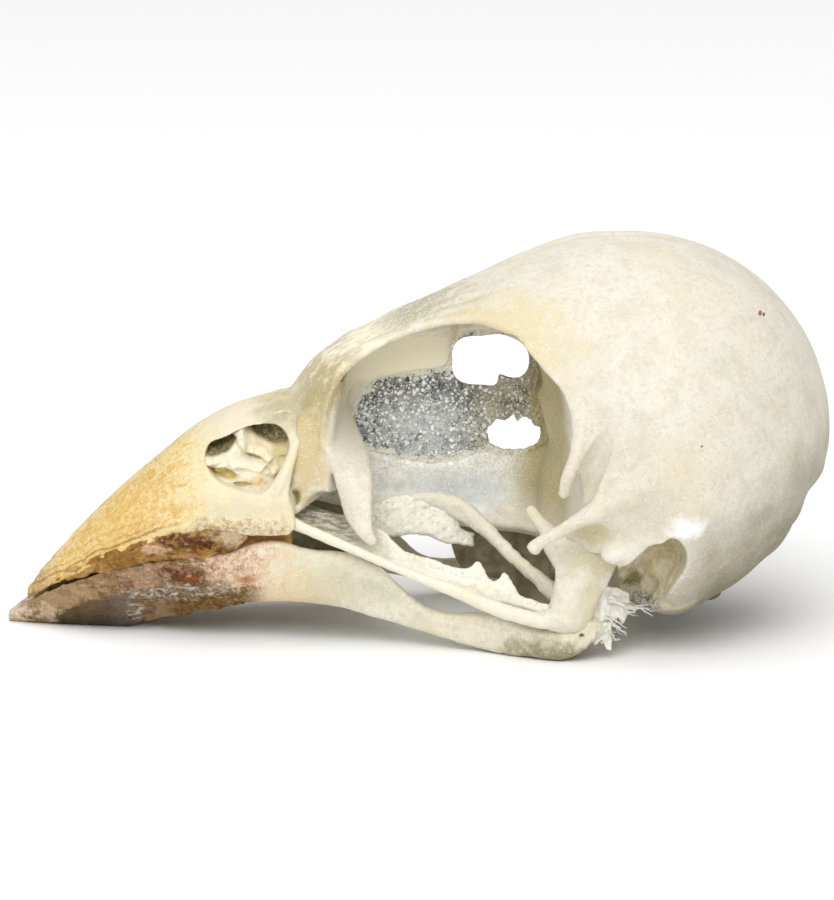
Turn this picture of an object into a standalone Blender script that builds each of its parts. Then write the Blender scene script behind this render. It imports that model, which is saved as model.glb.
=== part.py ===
"""A small seed-eating songbird's skull, life size: bill, cranium, palate and jaw lying as they rest.

Sizes are in millimetres and become metres when a mesh is made. The ground is Z = 0, the bill points to
-X, and the skull's left side faces -Y. Every paired bone is built once and mirrored by its side, -1 for
left and +1 for right.
"""
import math

import bmesh
import bpy
import numpy as np

MM = 0.001
CUT = 0.06          # the thin cut between neighbouring pieces
LEFT, RIGHT = -1, 1

# Cranium
CRANIUM_FRONT, CRANIUM_BACK = 3.0, 15.06
CROWN_X, CROWN_LENGTH, CROWN_HEIGHT = 7.7, 7.36, 7.12
NAPE_X, NAPE_LENGTH, NAPE_DEPTH = 14.2, 2.56, 3.35
EQUATOR = 7.3       # height of the middle of the back of the head
WIDEST_X, WIDEST_LENGTH, HALF_WIDTH = 8.8, 6.26, 7.55
SHELL_SCALE = 0.91  # the brain's room against the outside of the shell
BRAIN_FRONT, BRAIN_ROUND = 5.7, 1.5
BRAIN_SHELF, BRAIN_STEM = 5.4, 3.7  # below this height the room narrows to this half width
FORAMEN_CENTRE, FORAMEN_RADIUS, FORAMEN_TILT = (12.3, 0.0, 1.9), 1.7, math.radians(32)
# Orbit
ORBIT_REAR_AT_MIDDLE, ORBIT_HALF_WIDTH = 4.3, 6.4
# Bill
BILL_TIP, BILL_HINGE = -14.35, -4.35
BILL_WALL = 0.85
HORN_THICKNESS = 0.55
# Plates and rods
PLATE = 0.55
SEPTUM = 0.55

BONE_WHITE = (0.83, 0.80, 0.70)
BONE_CREAM = (0.80, 0.73, 0.56)
BONE_GREY = (0.66, 0.66, 0.62)
BILL_YELLOW = (0.80, 0.62, 0.30)
HORN_BROWN = (0.45, 0.27, 0.18)
HORN_PINK = (0.55, 0.38, 0.31)


def clear_scene():
    for thing in list(bpy.data.objects):
        bpy.data.objects.remove(thing, do_unlink=True)


def material(name, colour, roughness):
    made = bpy.data.materials.new(name)
    made.use_nodes = True
    shader = made.node_tree.nodes["Principled BSDF"]
    shader.inputs["Base Color"].default_value = (*colour, 1.0)
    shader.inputs["Roughness"].default_value = roughness
    shader.inputs["Metallic"].default_value = 0.0
    return made


def through(stations, at):
    """A smooth curve through (place, value) stations, read at the places given."""
    place, value = np.array(stations, float).T
    slope = np.gradient(value, place)
    at = np.clip(np.asarray(at, float), place[0], place[-1])
    i = np.clip(np.searchsorted(place, at) - 1, 0, len(place) - 2)
    h = place[i + 1] - place[i]
    t = (at - place[i]) / h
    ends = value[i] * (1 + 2 * t) * (1 - t) ** 2 + value[i + 1] * t * t * (3 - 2 * t)
    return ends + h * (slope[i] * t * (1 - t) ** 2 - slope[i + 1] * t * t * (1 - t))


def solid(name, points, faces, finish=None):
    """An object from points in millimetres and faces, with its normals facing out."""
    mesh = bpy.data.meshes.new(name)
    made = bpy.data.objects.new(name, mesh)
    bpy.context.scene.collection.objects.link(made)
    shape = bmesh.new()
    corners = [shape.verts.new(point) for point in np.asarray(points, float) * MM]
    for face in faces:
        shape.faces.new([corners[k] for k in face])
    bmesh.ops.recalc_face_normals(shape, faces=shape.faces)
    for face in shape.faces:
        face.smooth = True
    shape.to_mesh(mesh)
    shape.free()
    if finish:
        mesh.materials.append(finish)
    return made


def loft(name, rings, finish=None):
    """Closed rings of equal length joined in order, each end closed by a flat cap."""
    rings = np.asarray(rings, float)
    count, around = rings.shape[:2]
    faces = [
        (i * around + j, i * around + (j + 1) % around,
         (i + 1) * around + (j + 1) % around, (i + 1) * around + j)
        for i in range(count - 1) for j in range(around)
    ]
    faces += [tuple(range(around)), tuple(range((count - 1) * around, count * around))]
    return solid(name, rings.reshape(-1, 3), faces, finish)


def sheet(name, middle, thickness, finish=None):
    """A curved plate: a grid of middle points thickened to both sides along its normals."""
    middle = np.asarray(middle, float)
    along, across = np.gradient(middle, axis=0), np.gradient(middle, axis=1)
    normal = np.cross(along, across)
    normal /= np.linalg.norm(normal, axis=2, keepdims=True)
    half = np.broadcast_to(np.asarray(thickness, float) / 2, middle.shape[:2])[..., None]
    rows, columns = middle.shape[:2]
    points = np.concatenate([(middle + half * normal).reshape(-1, 3), (middle - half * normal).reshape(-1, 3)])
    under = rows * columns

    def corner(i, j):
        return i * columns + j

    faces = []
    for i in range(rows - 1):
        for j in range(columns - 1):
            quad = (corner(i, j), corner(i + 1, j), corner(i + 1, j + 1), corner(i, j + 1))
            faces += [quad, tuple(k + under for k in reversed(quad))]
    edge = [corner(i, 0) for i in range(rows)] + [corner(rows - 1, j) for j in range(1, columns)]
    edge += [corner(i, columns - 1) for i in range(rows - 2, -1, -1)]
    edge += [corner(0, j) for j in range(columns - 2, 0, -1)]
    for a, b in zip(edge, edge[1:] + edge[:1]):
        faces.append((a, b, b + under, a + under))
    return solid(name, points, faces, finish)


def rod(name, path, wide, tall, finish=None, around=10, steps=12):
    """A rod along a smooth path, with its half width and half height given at the path's points."""
    path = np.asarray(path, float)
    place = np.linspace(0, 1, len(path))
    at = np.linspace(0, 1, steps)
    centre = np.stack([through(list(zip(place, path[:, k])), at) for k in range(3)], axis=1)
    forward = np.gradient(centre, axis=0)
    forward /= np.linalg.norm(forward, axis=1, keepdims=True)
    side = np.cross(forward, (0, 0, 1))
    side /= np.linalg.norm(side, axis=1, keepdims=True)
    up = np.cross(side, forward)
    half_wide = through(list(zip(place, wide)), at)[:, None, None]
    half_tall = through(list(zip(place, tall)), at)[:, None, None]
    turn = np.linspace(0, 2 * math.pi, around, endpoint=False)[None, :, None]
    rings = centre[:, None] + np.cos(turn) * half_wide * side[:, None] + np.sin(turn) * half_tall * up[:, None]
    return loft(name, rings, finish)


def ball(name, centre, radii, finish=None, around=18, levels=10):
    """An ellipsoid about a centre."""
    polar = np.linspace(0.12, math.pi - 0.12, levels)[:, None]
    turn = np.linspace(0, 2 * math.pi, around, endpoint=False)[None]
    unit = np.stack(
        [np.sin(polar) * np.cos(turn), np.sin(polar) * np.sin(turn), np.cos(polar) + 0 * turn], axis=2)
    return loft(name, np.asarray(centre) + unit * np.asarray(radii), finish)


def cut(body, tool, operation="DIFFERENCE"):
    """Takes a hidden tool out of a body, adds it, or keeps what both share."""
    tool.hide_render = True
    tool.display_type = "WIRE"
    change = body.modifiers.new(f"{operation.lower()}_{tool.name}", "BOOLEAN")
    change.operation = operation
    change.solver = "EXACT"
    change.object = tool
    return body


# ---------------------------------------------------------------- cranium

def crown(x):
    """Height of the skull's top along its middle."""
    slope = through(((-4.3, 9.2), (-3.2, 10.1), (-1.4, 11.1), (0.5, 12.05), (2.3, 12.92),
                     (4.1, 13.72), (5.9, 14.32), (CROWN_X, EQUATOR + CROWN_HEIGHT)), x)
    back = EQUATOR + CROWN_HEIGHT * np.sqrt(np.clip(1 - ((x - CROWN_X) / CROWN_LENGTH) ** 2, 0, 1))
    return np.where(x < CROWN_X, slope, back)


def base(x):
    """Height of the skull's underside along its middle."""
    front = through(((3.0, 4.5), (4.4, 3.6), (6.0, 2.6), (8.0, 1.25), (9.5, 0.85), (10.6, 1.1), (11.5, 1.55),
                     (12.4, 2.1), (13.2, 2.95), (NAPE_X, 4.8)), x)
    turn = (x - CRANIUM_BACK + NAPE_LENGTH) / NAPE_LENGTH
    back = EQUATOR - NAPE_DEPTH * np.sqrt(np.clip(1 - turn ** 2, 0, 1))
    return np.where(x < NAPE_X, front, back)


def half_width(x):
    """Half the braincase's width seen from above."""
    front = through(((3.0, 6.0), (3.9, 6.45), (5.5, 6.9), (7.0, 7.3), (WIDEST_X, HALF_WIDTH)), x)
    back = HALF_WIDTH * np.sqrt(np.clip(1 - ((x - WIDEST_X) / WIDEST_LENGTH) ** 2, 0, 1))
    return np.where(x < WIDEST_X, front, back)


def head_rings(places, around):
    """Egg-shaped rings of the braincase's outside: round above the widest level, fuller below it."""
    x = np.asarray(places, float)[:, None]
    turn = np.linspace(0, 2 * math.pi, around, endpoint=False)[None]
    level = through(((3.0, 7.5), (6.0, 6.9), (9.0, 6.8), (12.0, 7.1), (15.06, EQUATOR)), x)
    c, s = np.cos(turn), np.sin(turn)
    fullness = np.where(s < 0, through(((5, 2.3), (8, 3.1), (9.3, 3.0), (10.6, 2.1), (12, 2.0)), x), 2.05)
    reach = 1 / (np.abs(c) ** fullness + np.abs(s) ** fullness) ** (1 / fullness)
    tall = np.where(s < 0, level - base(x), crown(x) - level)
    return np.stack([x + 0 * turn, half_width(x) * c * reach, level + tall * s * reach], axis=2)


def braincase(finish):
    ease = np.sin(np.linspace(0, 1, 19) * math.pi / 2)
    places = CRANIUM_FRONT + (CRANIUM_BACK - 0.01 - CRANIUM_FRONT) * ease
    body = loft("braincase", head_rings(places, 32), finish)
    cut(body, orbit_room())
    cut(body, zygomatic_process(LEFT), "UNION")
    cut(body, zygomatic_process(RIGHT), "UNION")
    cut(body, postorbital_process(LEFT), "UNION")
    cut(body, postorbital_process(RIGHT), "UNION")
    for side, word in ((LEFT, "left"), (RIGHT, "right")):
        cut(body, ball(f"jaw_joint_room_{word}", (5.8, 6.6 * side, 2.0), (2.35, 4.3, 3.2)))
        cut(body, ball(f"ear_room_{word}", (8.55, 6.8 * side, 2.9), (1.15, 2.0, 1.95)))
    cut(body, ball("occipital_condyle", (10.75, 0, 1.2), (0.45, 0.5, 0.4), around=10, levels=6), "UNION")
    cut(body, brain_room())
    cut(body, foramen())
    return body


def orbit_room():
    """Both eye sockets' room in one tool: its back wall runs from the middle out to the rim."""
    rim = np.array([(1.0, 11.75), (2.9, 11.78), (3.5, 11.5), (4.0, 10.98), (4.55, 10.42), (5.02, 9.99), (5.35, 9.3),
                    (5.55, 8.45), (5.45, 7.6), (5.22, 6.95), (5.15, 6.0), (5.0, 4.6), (4.7, 3.4), (4.6, 1.0), (1.0, 1.0)])
    middle = rim.copy()
    middle[:, 0] = np.minimum(middle[:, 0], ORBIT_REAR_AT_MIDDLE)
    middle[:, 1] = np.minimum(middle[:, 1], 11.0 - 0.6 * np.clip(middle[:, 0] - 3.0, 0, 2))
    middle[1:13, 0] = np.minimum(middle[1:13, 0], ORBIT_REAR_AT_MIDDLE - 0.004 * np.arange(12))
    rings = []
    for y in np.linspace(-9, 9, 13):
        share = math.sin(math.pi / 2 * min(abs(y) / ORBIT_HALF_WIDTH, 1))
        outline = middle + (rim - middle) * share
        rings.append(np.stack([outline[:, 0], np.full(len(rim), y), outline[:, 1]], axis=1))
    return loft("orbit_room", rings)


def brain_room():
    """The hollow inside: the outside drawn in toward its middle, rounded off behind the eye sockets."""
    ease = np.sin(np.linspace(0, 1, 14) * math.pi / 2)
    inner = BRAIN_FRONT + 0.02 + (14.5 - BRAIN_FRONT) * ease
    centre = np.array((9.3, 0, EQUATOR))
    outer = centre[0] + (inner - centre[0]) / SHELL_SCALE
    rings = centre + (head_rings(np.minimum(outer, CRANIUM_BACK - 0.03), 20) - centre) * SHELL_SCALE
    rings[:, :, 0] = inner[:, None]
    draw = np.clip((BRAIN_FRONT + BRAIN_ROUND - inner) / BRAIN_ROUND, 0, 1)
    shrink = np.sqrt(1 - draw ** 2)[:, None]
    rings[:, :, 1] *= shrink
    rings[:, :, 2] = EQUATOR + (rings[:, :, 2] - EQUATOR) * shrink
    floor = through(((BRAIN_FRONT, 5.8), (7.6, 5.5), (8.9, 1.6), (15.0, 1.6)), rings[:, :, 0])
    rings[:, :, 2] = np.maximum(rings[:, :, 2], floor)
    narrow = np.clip(rings[:, :, 1], -BRAIN_STEM, BRAIN_STEM)
    rings[:, :, 1] = np.where((rings[:, :, 2] < BRAIN_SHELF) & (rings[:, :, 0] < 11), narrow, rings[:, :, 1])
    return loft("brain_room", rings)


def foramen():
    """The round opening for the spine, facing down and back."""
    away = np.array((math.sin(FORAMEN_TILT), 0, -math.cos(FORAMEN_TILT)))
    centre = np.array(FORAMEN_CENTRE)
    path = [centre - 2.2 * away, centre, centre + 2.2 * away]
    return rod("foramen_magnum", path, [FORAMEN_RADIUS] * 3, [FORAMEN_RADIUS * 0.85] * 3, around=20, steps=3)


def zygomatic_process(side):
    path = [(7.7, 6.35 * side, 6.5), (6.4, 6.9 * side, 5.95), (5.5, 6.85 * side, 5.3), (4.05, 6.7 * side, 4.12)]
    return rod(f"zygomatic_{side + 1}", path, [0.7, 0.42, 0.3, 0.26], [0.9, 0.45, 0.3, 0.26], around=8, steps=8)


def postorbital_process(side):
    path = [(5.75, 6.35 * side, 8.7), (5.62, 6.62 * side, 7.6), (5.35, 6.6 * side, 6.8), (5.18, 6.42 * side, 5.98)]
    return rod(f"postorbital_{side + 1}", path, [0.3, 0.33, 0.3, 0.25], [0.3, 0.35, 0.3, 0.25], around=8, steps=8)


def frontal(finish):
    """The roof between the eye sockets: narrow in the middle, spreading to the bill and to the braincase."""
    x = np.linspace(-3.82, CRANIUM_FRONT - CUT, 13)[:, None]
    across = np.linspace(-1, 1, 9)[None]
    half = through(((-3.95, 2.75), (-3.2, 3.05), (-1.7, 2.5), (0.1, 2.45), (1.3, 2.85), (2.4, 3.6), (3.0, 4.2)), x)
    rim = through(((-3.95, 8.75), (-3.2, 9.5), (-1.7, 10.6), (0.1, 11.4), (1.3, 11.72), (2.4, 11.82), (3.0, 11.72)), x)
    top = crown(x) - (crown(x) - rim - 0.08) * np.abs(across) ** 2.2
    under = np.minimum(rim - 0.42, top - 0.55) - 0.25 * (1 - across ** 2)
    y = half * across
    points = np.concatenate(
        [np.stack([x + 0 * y, y, top], axis=2), np.stack([x + 0 * y, y * 0.97, under], axis=2)[:, ::-1]], axis=1)
    return loft("frontal_roof", points, finish)


def septum(finish):
    """The upright wall between the eye sockets, with its two windows toward the back."""
    rear = ORBIT_REAR_AT_MIDDLE - CUT - 0.02
    x = np.linspace(-3.98, rear, 17)[:, None]
    up = np.linspace(0, 1, 8)[None]
    roof = through(((-3.98, 7.6), (-3.7, 8.1), (-2.9, 9.05), (-1.7, 9.75), (0.1, 10.6), (1.3, 10.93), (2.4, 11.02), (3.0, 10.9), (rear, 10.1)), x)
    floor = through(((-3.98, 5.3), (-2.9, 5.15), (-1.0, 4.75), (2.0, 4.25), (rear, 4.2)), x)
    z = floor + (roof - 0.05 - floor) * up
    body = sheet("interorbital_septum", np.stack([x + 0 * z, 0 * z, z], axis=2), SEPTUM, finish)
    cut(body, window("upper_window", (2.64, 9.84), (1.36, 0.98), 0.08))
    cut(body, window("lower_window", (3.42, 7.12), (0.74, 0.58), 0.12))
    return body


def window(name, centre, size, ripple):
    turn = np.linspace(0, 2 * math.pi, 18, endpoint=False)
    reach = 1 + ripple * np.cos(3 * turn + 2.4)
    outline = np.stack([centre[0] + size[0] * reach * np.cos(turn), centre[1] + size[1] * reach * np.sin(turn)], axis=1)
    return loft(name, [[(x, y, z) for x, z in outline] for y in (-1, 1)])


def rostrum(finish):
    """The keel-like rod along the septum's foot."""
    path = [(-3.1, 0, 4.75), (-1.0, 0, 4.35), (1.5, 0, 3.8), (ORBIT_REAR_AT_MIDDLE - 0.2, 0, 3.68)]
    return rod("parasphenoid_rostrum", path, [0.3, 0.45, 0.55, 0.7], [0.28, 0.36, 0.4, 0.42], finish)


def ectethmoid(side, word, finish):
    """The plate that closes the front of an eye socket and curls back at its outer edge."""
    out = np.linspace(0, 1, 7)[:, None]
    up = np.linspace(0, 1, 5)[None]
    y = 0.42 + 3.75 * out - 0.95 * up * out ** 2
    x = -3.87 + 1.52 * out + 0.85 * out ** 4 * (1 - 0.75 * up) + 0.15 * up
    low = through(((0, 5.3), (0.5, 5.15), (0.8, 4.6), (1, 4.15)), out)
    high = through(((0, 7.9), (0.4, 8.35), (0.7, 8.8), (1, 9.0)), out)
    z = low + (high - low) * up
    return sheet(f"ectethmoid_{word}", np.stack([x, side * y, z], axis=2), PLATE, finish)


# ---------------------------------------------------------------- bill

def culmen(x):
    """Height of the bill's ridge."""
    return through(((-14.35, 1.25), (-13.3, 2.53), (-11.4, 4.5), (-9.6, 6.1), (-7.75, 7.55), (-6.8, 8.05),
                    (-5.9, 8.38), (-5.0, 8.68), (-4.3, 8.95)), x)


def tomium(x):
    """Height of the upper bill's cutting edge."""
    return through(((-14.35, 1.1), (-13.66, 1.7), (-12.5, 2.42), (-11.4, 3.08), (-9.1, 4.05), (-8.2, 4.25),
                    (-7.0, 4.3), (-6.0, 4.08), (-4.3, 4.1)), x)


def bill_half_width(x):
    return through(((-14.35, 0.12), (-13.66, 0.75), (-12.5, 1.5), (-11.4, 2.15), (-9.1, 3.1), (-7.0, 3.7),
                    (-5.5, 3.9), (-4.3, 3.95)), x)


def upper_bill(finish):
    """The cone of the upper bill, arched above, with a shallow palate below and a nostril in each side."""
    x = np.linspace(BILL_TIP, BILL_HINGE, 18)
    side = np.linspace(0, 1, 11)
    rings = []
    for place in x:
        half, foot, top = bill_half_width(place), tomium(place), culmen(place)
        turn = side * math.pi
        narrow = 0.62 + 0.38 * (place - BILL_HINGE) / (BILL_TIP - BILL_HINGE)
        arch_y = -half * np.cos(turn) * (1 - (1 - narrow) * 0.5 * np.sin(turn))
        arch_z = foot + (top - foot) * np.sin(turn) ** 0.92
        wall = min(BILL_WALL, 0.45 * half)
        hollow = min(1.3, 0.4 * (top - foot))
        back = np.linspace(1, -1, 7)[:, None]
        under_y = (half - wall) * back[:, 0]
        under_z = foot + 0.02 + hollow * (1 - back[:, 0] ** 2)
        lean = 0.16 * (np.concatenate([arch_z, under_z]) - foot) * max(0, (place + 7) / 2.65)
        y = np.concatenate([arch_y, under_y])
        z = np.concatenate([arch_z, under_z])
        rings.append(np.stack([place + lean * 0.6, y, z], axis=1))
    body = loft("upper_bill", rings, finish)
    for side_sign, word in ((LEFT, "left"), (RIGHT, "right")):
        cut(body, nostril(side_sign, word))
    return body


def nostril(side, word):
    """The room behind an egg-shaped nostril, up to the thin wall between both."""
    turn = np.linspace(0, 2 * math.pi, 18, endpoint=False)
    rings = []
    for y, size in ((0.35, 0.93), (2.2, 0.97), (4.5, 1.04)):
        across = 1.58 * size * np.cos(turn) * (1 + 0.1 * np.sin(turn))
        up = 1.08 * size * np.sin(turn) + 0.22 * across
        rings.append(np.stack([-6.12 + across, np.full(18, side * y), 6.78 + up], axis=1))
    return loft(f"nostril_{word}", rings)


def concha(side, word, finish):
    """The scrolled bone that shows in a nostril: a slanting fold with a lump below it."""
    fold = [(-7.3, 1.35 * side, 6.15), (-6.5, 1.5 * side, 6.75), (-5.9, 1.45 * side, 7.2), (-5.55, 1.3 * side, 7.55)]
    body = rod(f"nasal_concha_{word}", fold, [0.35, 0.5, 0.45, 0.3], [0.3, 0.36, 0.34, 0.28], finish, around=10, steps=9)
    lump = ball(f"lump_{word}", (-5.72, 1.5 * side, 6.42), (0.62, 0.6, 0.42), around=12, levels=8)
    stalk = rod(f"stalk_{word}", [(-6.35, 1.45 * side, 6.8), (-5.9, 1.5 * side, 6.5), (-5.6, 1.5 * side, 6.3)],
                [0.3] * 3, [0.26] * 3, around=8, steps=4)
    cut(body, lump, "UNION")
    return cut(body, stalk, "UNION")


def upper_horn(side, word, finish):
    """The ragged strip of horn left along the upper bill's cutting edge."""
    x = np.linspace(-13.7, -6.3, 15)[:, None]
    down = np.linspace(0, 1, 3)[None]
    high = tomium(x) - CUT - 0.12
    low = through(((-13.95, 1.28), (-12.9, 1.93), (-12.0, 2.2), (-10.7, 2.56), (-9.5, 3.02), (-8.3, 3.18),
                   (-7.2, 3.45), (-6.3, 3.85)), x) + 0.07 * np.sin(5.1 * x)
    z = high + (low - high) * down
    y = bill_half_width(x) - 0.3 - 0.1 * down
    return sheet(f"upper_horn_{word}", np.stack([x + 0 * z, side * y, z], axis=2), HORN_THICKNESS, finish)


# ---------------------------------------------------------------- lower jaw

def jaw_foot(x):
    """Height of the lower jaw's under edge: flat under the bill, arched, then down to the jaw's angle."""
    foot = through(((-15.06, 0), (-10.4, 0), (-9.7, 0.1), (-8.6, 0.42), (-7.75, 0.68), (-6.3, 1.17), (-4.6, 1.42), (-3.1, 1.4),
                    (-1.3, 0.95), (0.5, 0.5), (2.3, 0.12), (3.3, 0.0), (5.35, 0.0), (6.0, 0.2), (7.6, 0.56)), x)
    return np.maximum(foot, 0)


def jaw_top(x):
    return through(((-15.06, 0.35), (-14.2, 0.86), (-13.1, 1.5), (-12.0, 1.9), (-10.7, 2.3), (-9.5, 2.72),
                    (-8.3, 2.9), (-7.2, 3.2), (-6.2, 3.66), (-5.2, 3.72), (-4.1, 3.55), (-2.0, 3.1), (-0.5, 2.05),
                    (0.9, 1.36), (2.2, 1.42), (3.2, 1.4), (3.8, 1.2), (5.2, 1.17), (7.6, 1.2)), x)


def jaw_line(x):
    """How far the middle of each jaw branch stands from the skull's middle."""
    return through(((-9.7, 1.95), (-8.0, 2.55), (-6.0, 3.1), (-4.0, 3.45), (-2.0, 3.65), (0.0, 4.0), (2.0, 4.6),
                    (3.4, 5.2), (5.0, 5.75), (6.4, 5.8), (7.6, 5.5)), x)


def jaw_branch(name, start, end, side, finish, steps=8):
    """A length of one jaw branch: an upright blade, thicker toward the bill and at the joint."""
    x = np.linspace(start, end, steps)[:, None]
    up = np.linspace(0, 1, 4)[None]
    thick = through(((-9.6, 1.3), (-7.0, 1.0), (-4.0, 0.75), (0.0, 0.65), (2.5, 0.8), (4.5, 1.3), (6.0, 1.35), (7.6, 0.9)), x)
    z = jaw_foot(x) + (jaw_top(x) - jaw_foot(x)) * up
    y = jaw_line(x) + (up - 0.5) * through(((-9.7, 1.5), (-8.0, 1.0), (-6.0, 0.6), (-4.0, 0.25), (0.0, 0.0)), x)
    edge = np.array((0.62, 1.0, 1.0, 0.7))[None]
    points = []
    for sign, order in ((1, slice(None)), (-1, slice(None, None, -1))):
        shift = sign * thick * edge / 2
        points.append(np.stack([x + 0 * z, side * (y + shift), z], axis=2)[:, order])
    return loft(name, np.concatenate(points, axis=1), finish)


def articular(side, word, finish):
    """The jaw's joint end, with the spur that points inward to the palate."""
    body = jaw_branch(f"articular_{word}", 3.3 + CUT, 7.0, side, finish)
    spur = rod(f"spur_{word}", [(5.4, 5.6 * side, 0.75), (5.25, 4.6 * side, 0.95), (5.1, 3.7 * side, 1.35)],
               [0.7, 0.5, 0.3], [0.32, 0.3, 0.26], around=8, steps=6)
    return cut(body, spur, "UNION")


def lower_horn_tip(finish):
    """The horn-clad chin: flat below, with a trough for the tongue above."""
    x = np.linspace(-15.06, -9.7, 13)
    rings = []
    for place in x:
        half = float(through(((-15.06, 0.3), (-14.2, 0.85), (-13.1, 1.5), (-12.0, 2.02), (-10.7, 2.45), (-9.7, 2.78)), place))
        top, foot = float(jaw_top(place)), float(jaw_foot(place))
        flat = 0.5 * half
        dip = 0.42 * (top - foot) * min(1, (place + 15.06) / 2)
        y = np.array((-flat, flat, 0.86 * half, half, 0.72 * half, 0.3 * half, -0.3 * half, -0.72 * half, -half, -0.86 * half))
        z = np.array((foot, foot, foot + 0.4 * (top - foot), top, top - 0.15 * dip, top - dip, top - dip, top - 0.15 * dip,
                      top, foot + 0.4 * (top - foot)))
        rings.append(np.stack([np.full(10, place), y, z], axis=1))
    return loft("lower_horn_tip", rings, finish)


# ---------------------------------------------------------------- cheek, palate and joint

def jugal(side, word, finish):
    path = [(-4.0, 3.85 * side, 4.32), (-1.9, 4.3 * side, 3.49), (0.1, 4.75 * side, 2.72), (1.4, 5.1 * side, 2.3),
            (2.9, 5.7 * side, 1.8), (4.2, 6.3 * side, 1.56), (4.7, 6.42 * side, 1.55)]
    return rod(f"jugal_bar_{word}", path, [0.3, 0.25, 0.25, 0.25, 0.25, 0.25, 0.25],
               [0.3, 0.25, 0.28, 0.3, 0.27, 0.26, 0.26], finish, around=8, steps=16)


def palatine(side, word, finish):
    """A long plate of the palate: a bar from the bill, an upright inner wing and a hooked outer blade."""
    x = np.linspace(-4.1, 2.1, 12)[:, None]
    up = np.linspace(0, 1, 3)[None]
    low = through(((-4.1, 4.05), (-2.2, 3.75), (-1.2, 3.62), (0.4, 3.6), (1.35, 3.5), (2.1, 3.2)), x)
    high = through(((-4.1, 4.6), (-2.2, 4.5), (-1.2, 5.0), (0.2, 5.05), (1.2, 4.7), (1.5, 3.98), (2.1, 3.6)), x)
    z = low + (high - low) * up
    y = through(((-4.1, 2.3), (-1.2, 2.1), (2.1, 1.8)), x) - 0.25 * up
    body = sheet(f"palatine_{word}", np.stack([x + 0 * z, side * y, z], axis=2), PLATE, finish)
    x = np.linspace(-3.0, 3.3, 14)[:, None]
    low = through(((-3.0, 3.5), (-1.0, 2.95), (1.0, 2.42), (3.3, 1.95)), x)
    high = through(((-3.0, 4.15), (-1.4, 3.6), (0.6, 3.1), (1.7, 2.8), (2.2, 3.05), (2.55, 2.65), (3.0, 2.7), (3.3, 2.45)), x)
    z = low + (high - low) * up
    y = through(((-3.0, 2.3), (-1.4, 2.6), (0.5, 3.45), (3.3, 4.0)), x) + 0 * up
    outer = sheet(f"palatine_outer_{word}", np.stack([x + 0 * z, side * y, z], axis=2), PLATE)
    return cut(body, outer, "UNION")


def pterygoid(side, word, finish):
    path = [(1.75, 1.85 * side, 4.5), (2.4, 2.3 * side, 4.05), (3.4, 3.15 * side, 3.2), (4.6, 4.2 * side, 2.35)]
    return rod(f"pterygoid_{word}", path, [0.3, 0.26, 0.26, 0.34], [0.36, 0.28, 0.26, 0.32], finish, around=8, steps=10)


def quadrate(side, word, finish):
    """The jaw joint's block: a waisted body on its condyle, with a wing toward the eye."""
    body = rod(f"quadrate_{word}", [(5.5, 5.75 * side, 1.55), (5.7, 5.85 * side, 2.0), (6.05, 5.85 * side, 2.8), (6.75, 5.75 * side, 3.55)],
               [0.75, 0.55, 0.5, 0.4], [0.95, 1.05, 0.95, 0.65], finish, around=10, steps=8)
    wing = rod(f"quadrate_wing_{word}", [(5.9, 5.8 * side, 2.7), (5.1, 4.9 * side, 3.5), (4.45, 3.9 * side, 4.4), (4.25, 3.4 * side, 4.8)],
               [0.5, 0.38, 0.3, 0.25], [0.75, 0.42, 0.3, 0.26], around=10, steps=7)
    return cut(body, wing, "UNION")


def build():
    clear_scene()
    white = material("dry_bone_white", BONE_WHITE, 0.55)
    cream = material("dry_bone_cream", BONE_CREAM, 0.55)
    grey = material("dry_bone_grey", BONE_GREY, 0.6)
    yellow = material("bill_bone_yellow", BILL_YELLOW, 0.5)
    brown = material("bill_horn_brown", HORN_BROWN, 0.6)
    pink = material("bill_horn_pink", HORN_PINK, 0.6)
    braincase(white)
    frontal(white)
    septum(grey)
    rostrum(cream)
    upper_bill(yellow)
    lower_horn_tip(pink)
    for side, word in ((LEFT, "left"), (RIGHT, "right")):
        ectethmoid(side, word, cream)
        concha(side, word, cream)
        upper_horn(side, word, brown)
        jaw_branch(f"lower_horn_{word}", -9.7 + CUT, -6.2, side, pink)
        jaw_branch(f"dentary_{word}", -6.2 + CUT, -1.0, side, cream)
        jaw_branch(f"surangular_{word}", -1.0 + CUT, 3.3, side, cream)
        articular(side, word, cream)
        jugal(side, word, cream)
        palatine(side, word, grey)
        pterygoid(side, word, cream)
        quadrate(side, word, cream)


build()
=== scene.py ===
"""Looks of a small songbird's dry skull, lying on a pale floor.

Every shape is worked out in millimetres as whole arrays: a grid of points that is a function of two
parameters, or a profile carried along a path. Bones that are grown together are fused into one skin.
The bill points to -X, the skull's left side faces -Y, and the ground is Z = 0.
"""
import math

import bpy
import numpy as np
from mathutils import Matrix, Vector


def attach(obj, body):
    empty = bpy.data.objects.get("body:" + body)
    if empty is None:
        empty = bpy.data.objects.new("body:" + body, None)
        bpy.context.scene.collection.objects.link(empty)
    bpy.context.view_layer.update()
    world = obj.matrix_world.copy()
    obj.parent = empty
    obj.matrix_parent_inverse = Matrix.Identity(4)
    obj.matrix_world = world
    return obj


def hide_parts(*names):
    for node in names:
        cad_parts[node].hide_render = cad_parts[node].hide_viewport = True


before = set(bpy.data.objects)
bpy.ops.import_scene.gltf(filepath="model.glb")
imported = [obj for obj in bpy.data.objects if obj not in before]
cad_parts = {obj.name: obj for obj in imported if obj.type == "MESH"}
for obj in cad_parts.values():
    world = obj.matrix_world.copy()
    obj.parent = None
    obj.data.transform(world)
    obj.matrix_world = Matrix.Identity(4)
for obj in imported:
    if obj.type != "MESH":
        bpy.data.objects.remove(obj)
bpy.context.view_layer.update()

MM = 0.001
LEFT, RIGHT = -1, 1
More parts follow.
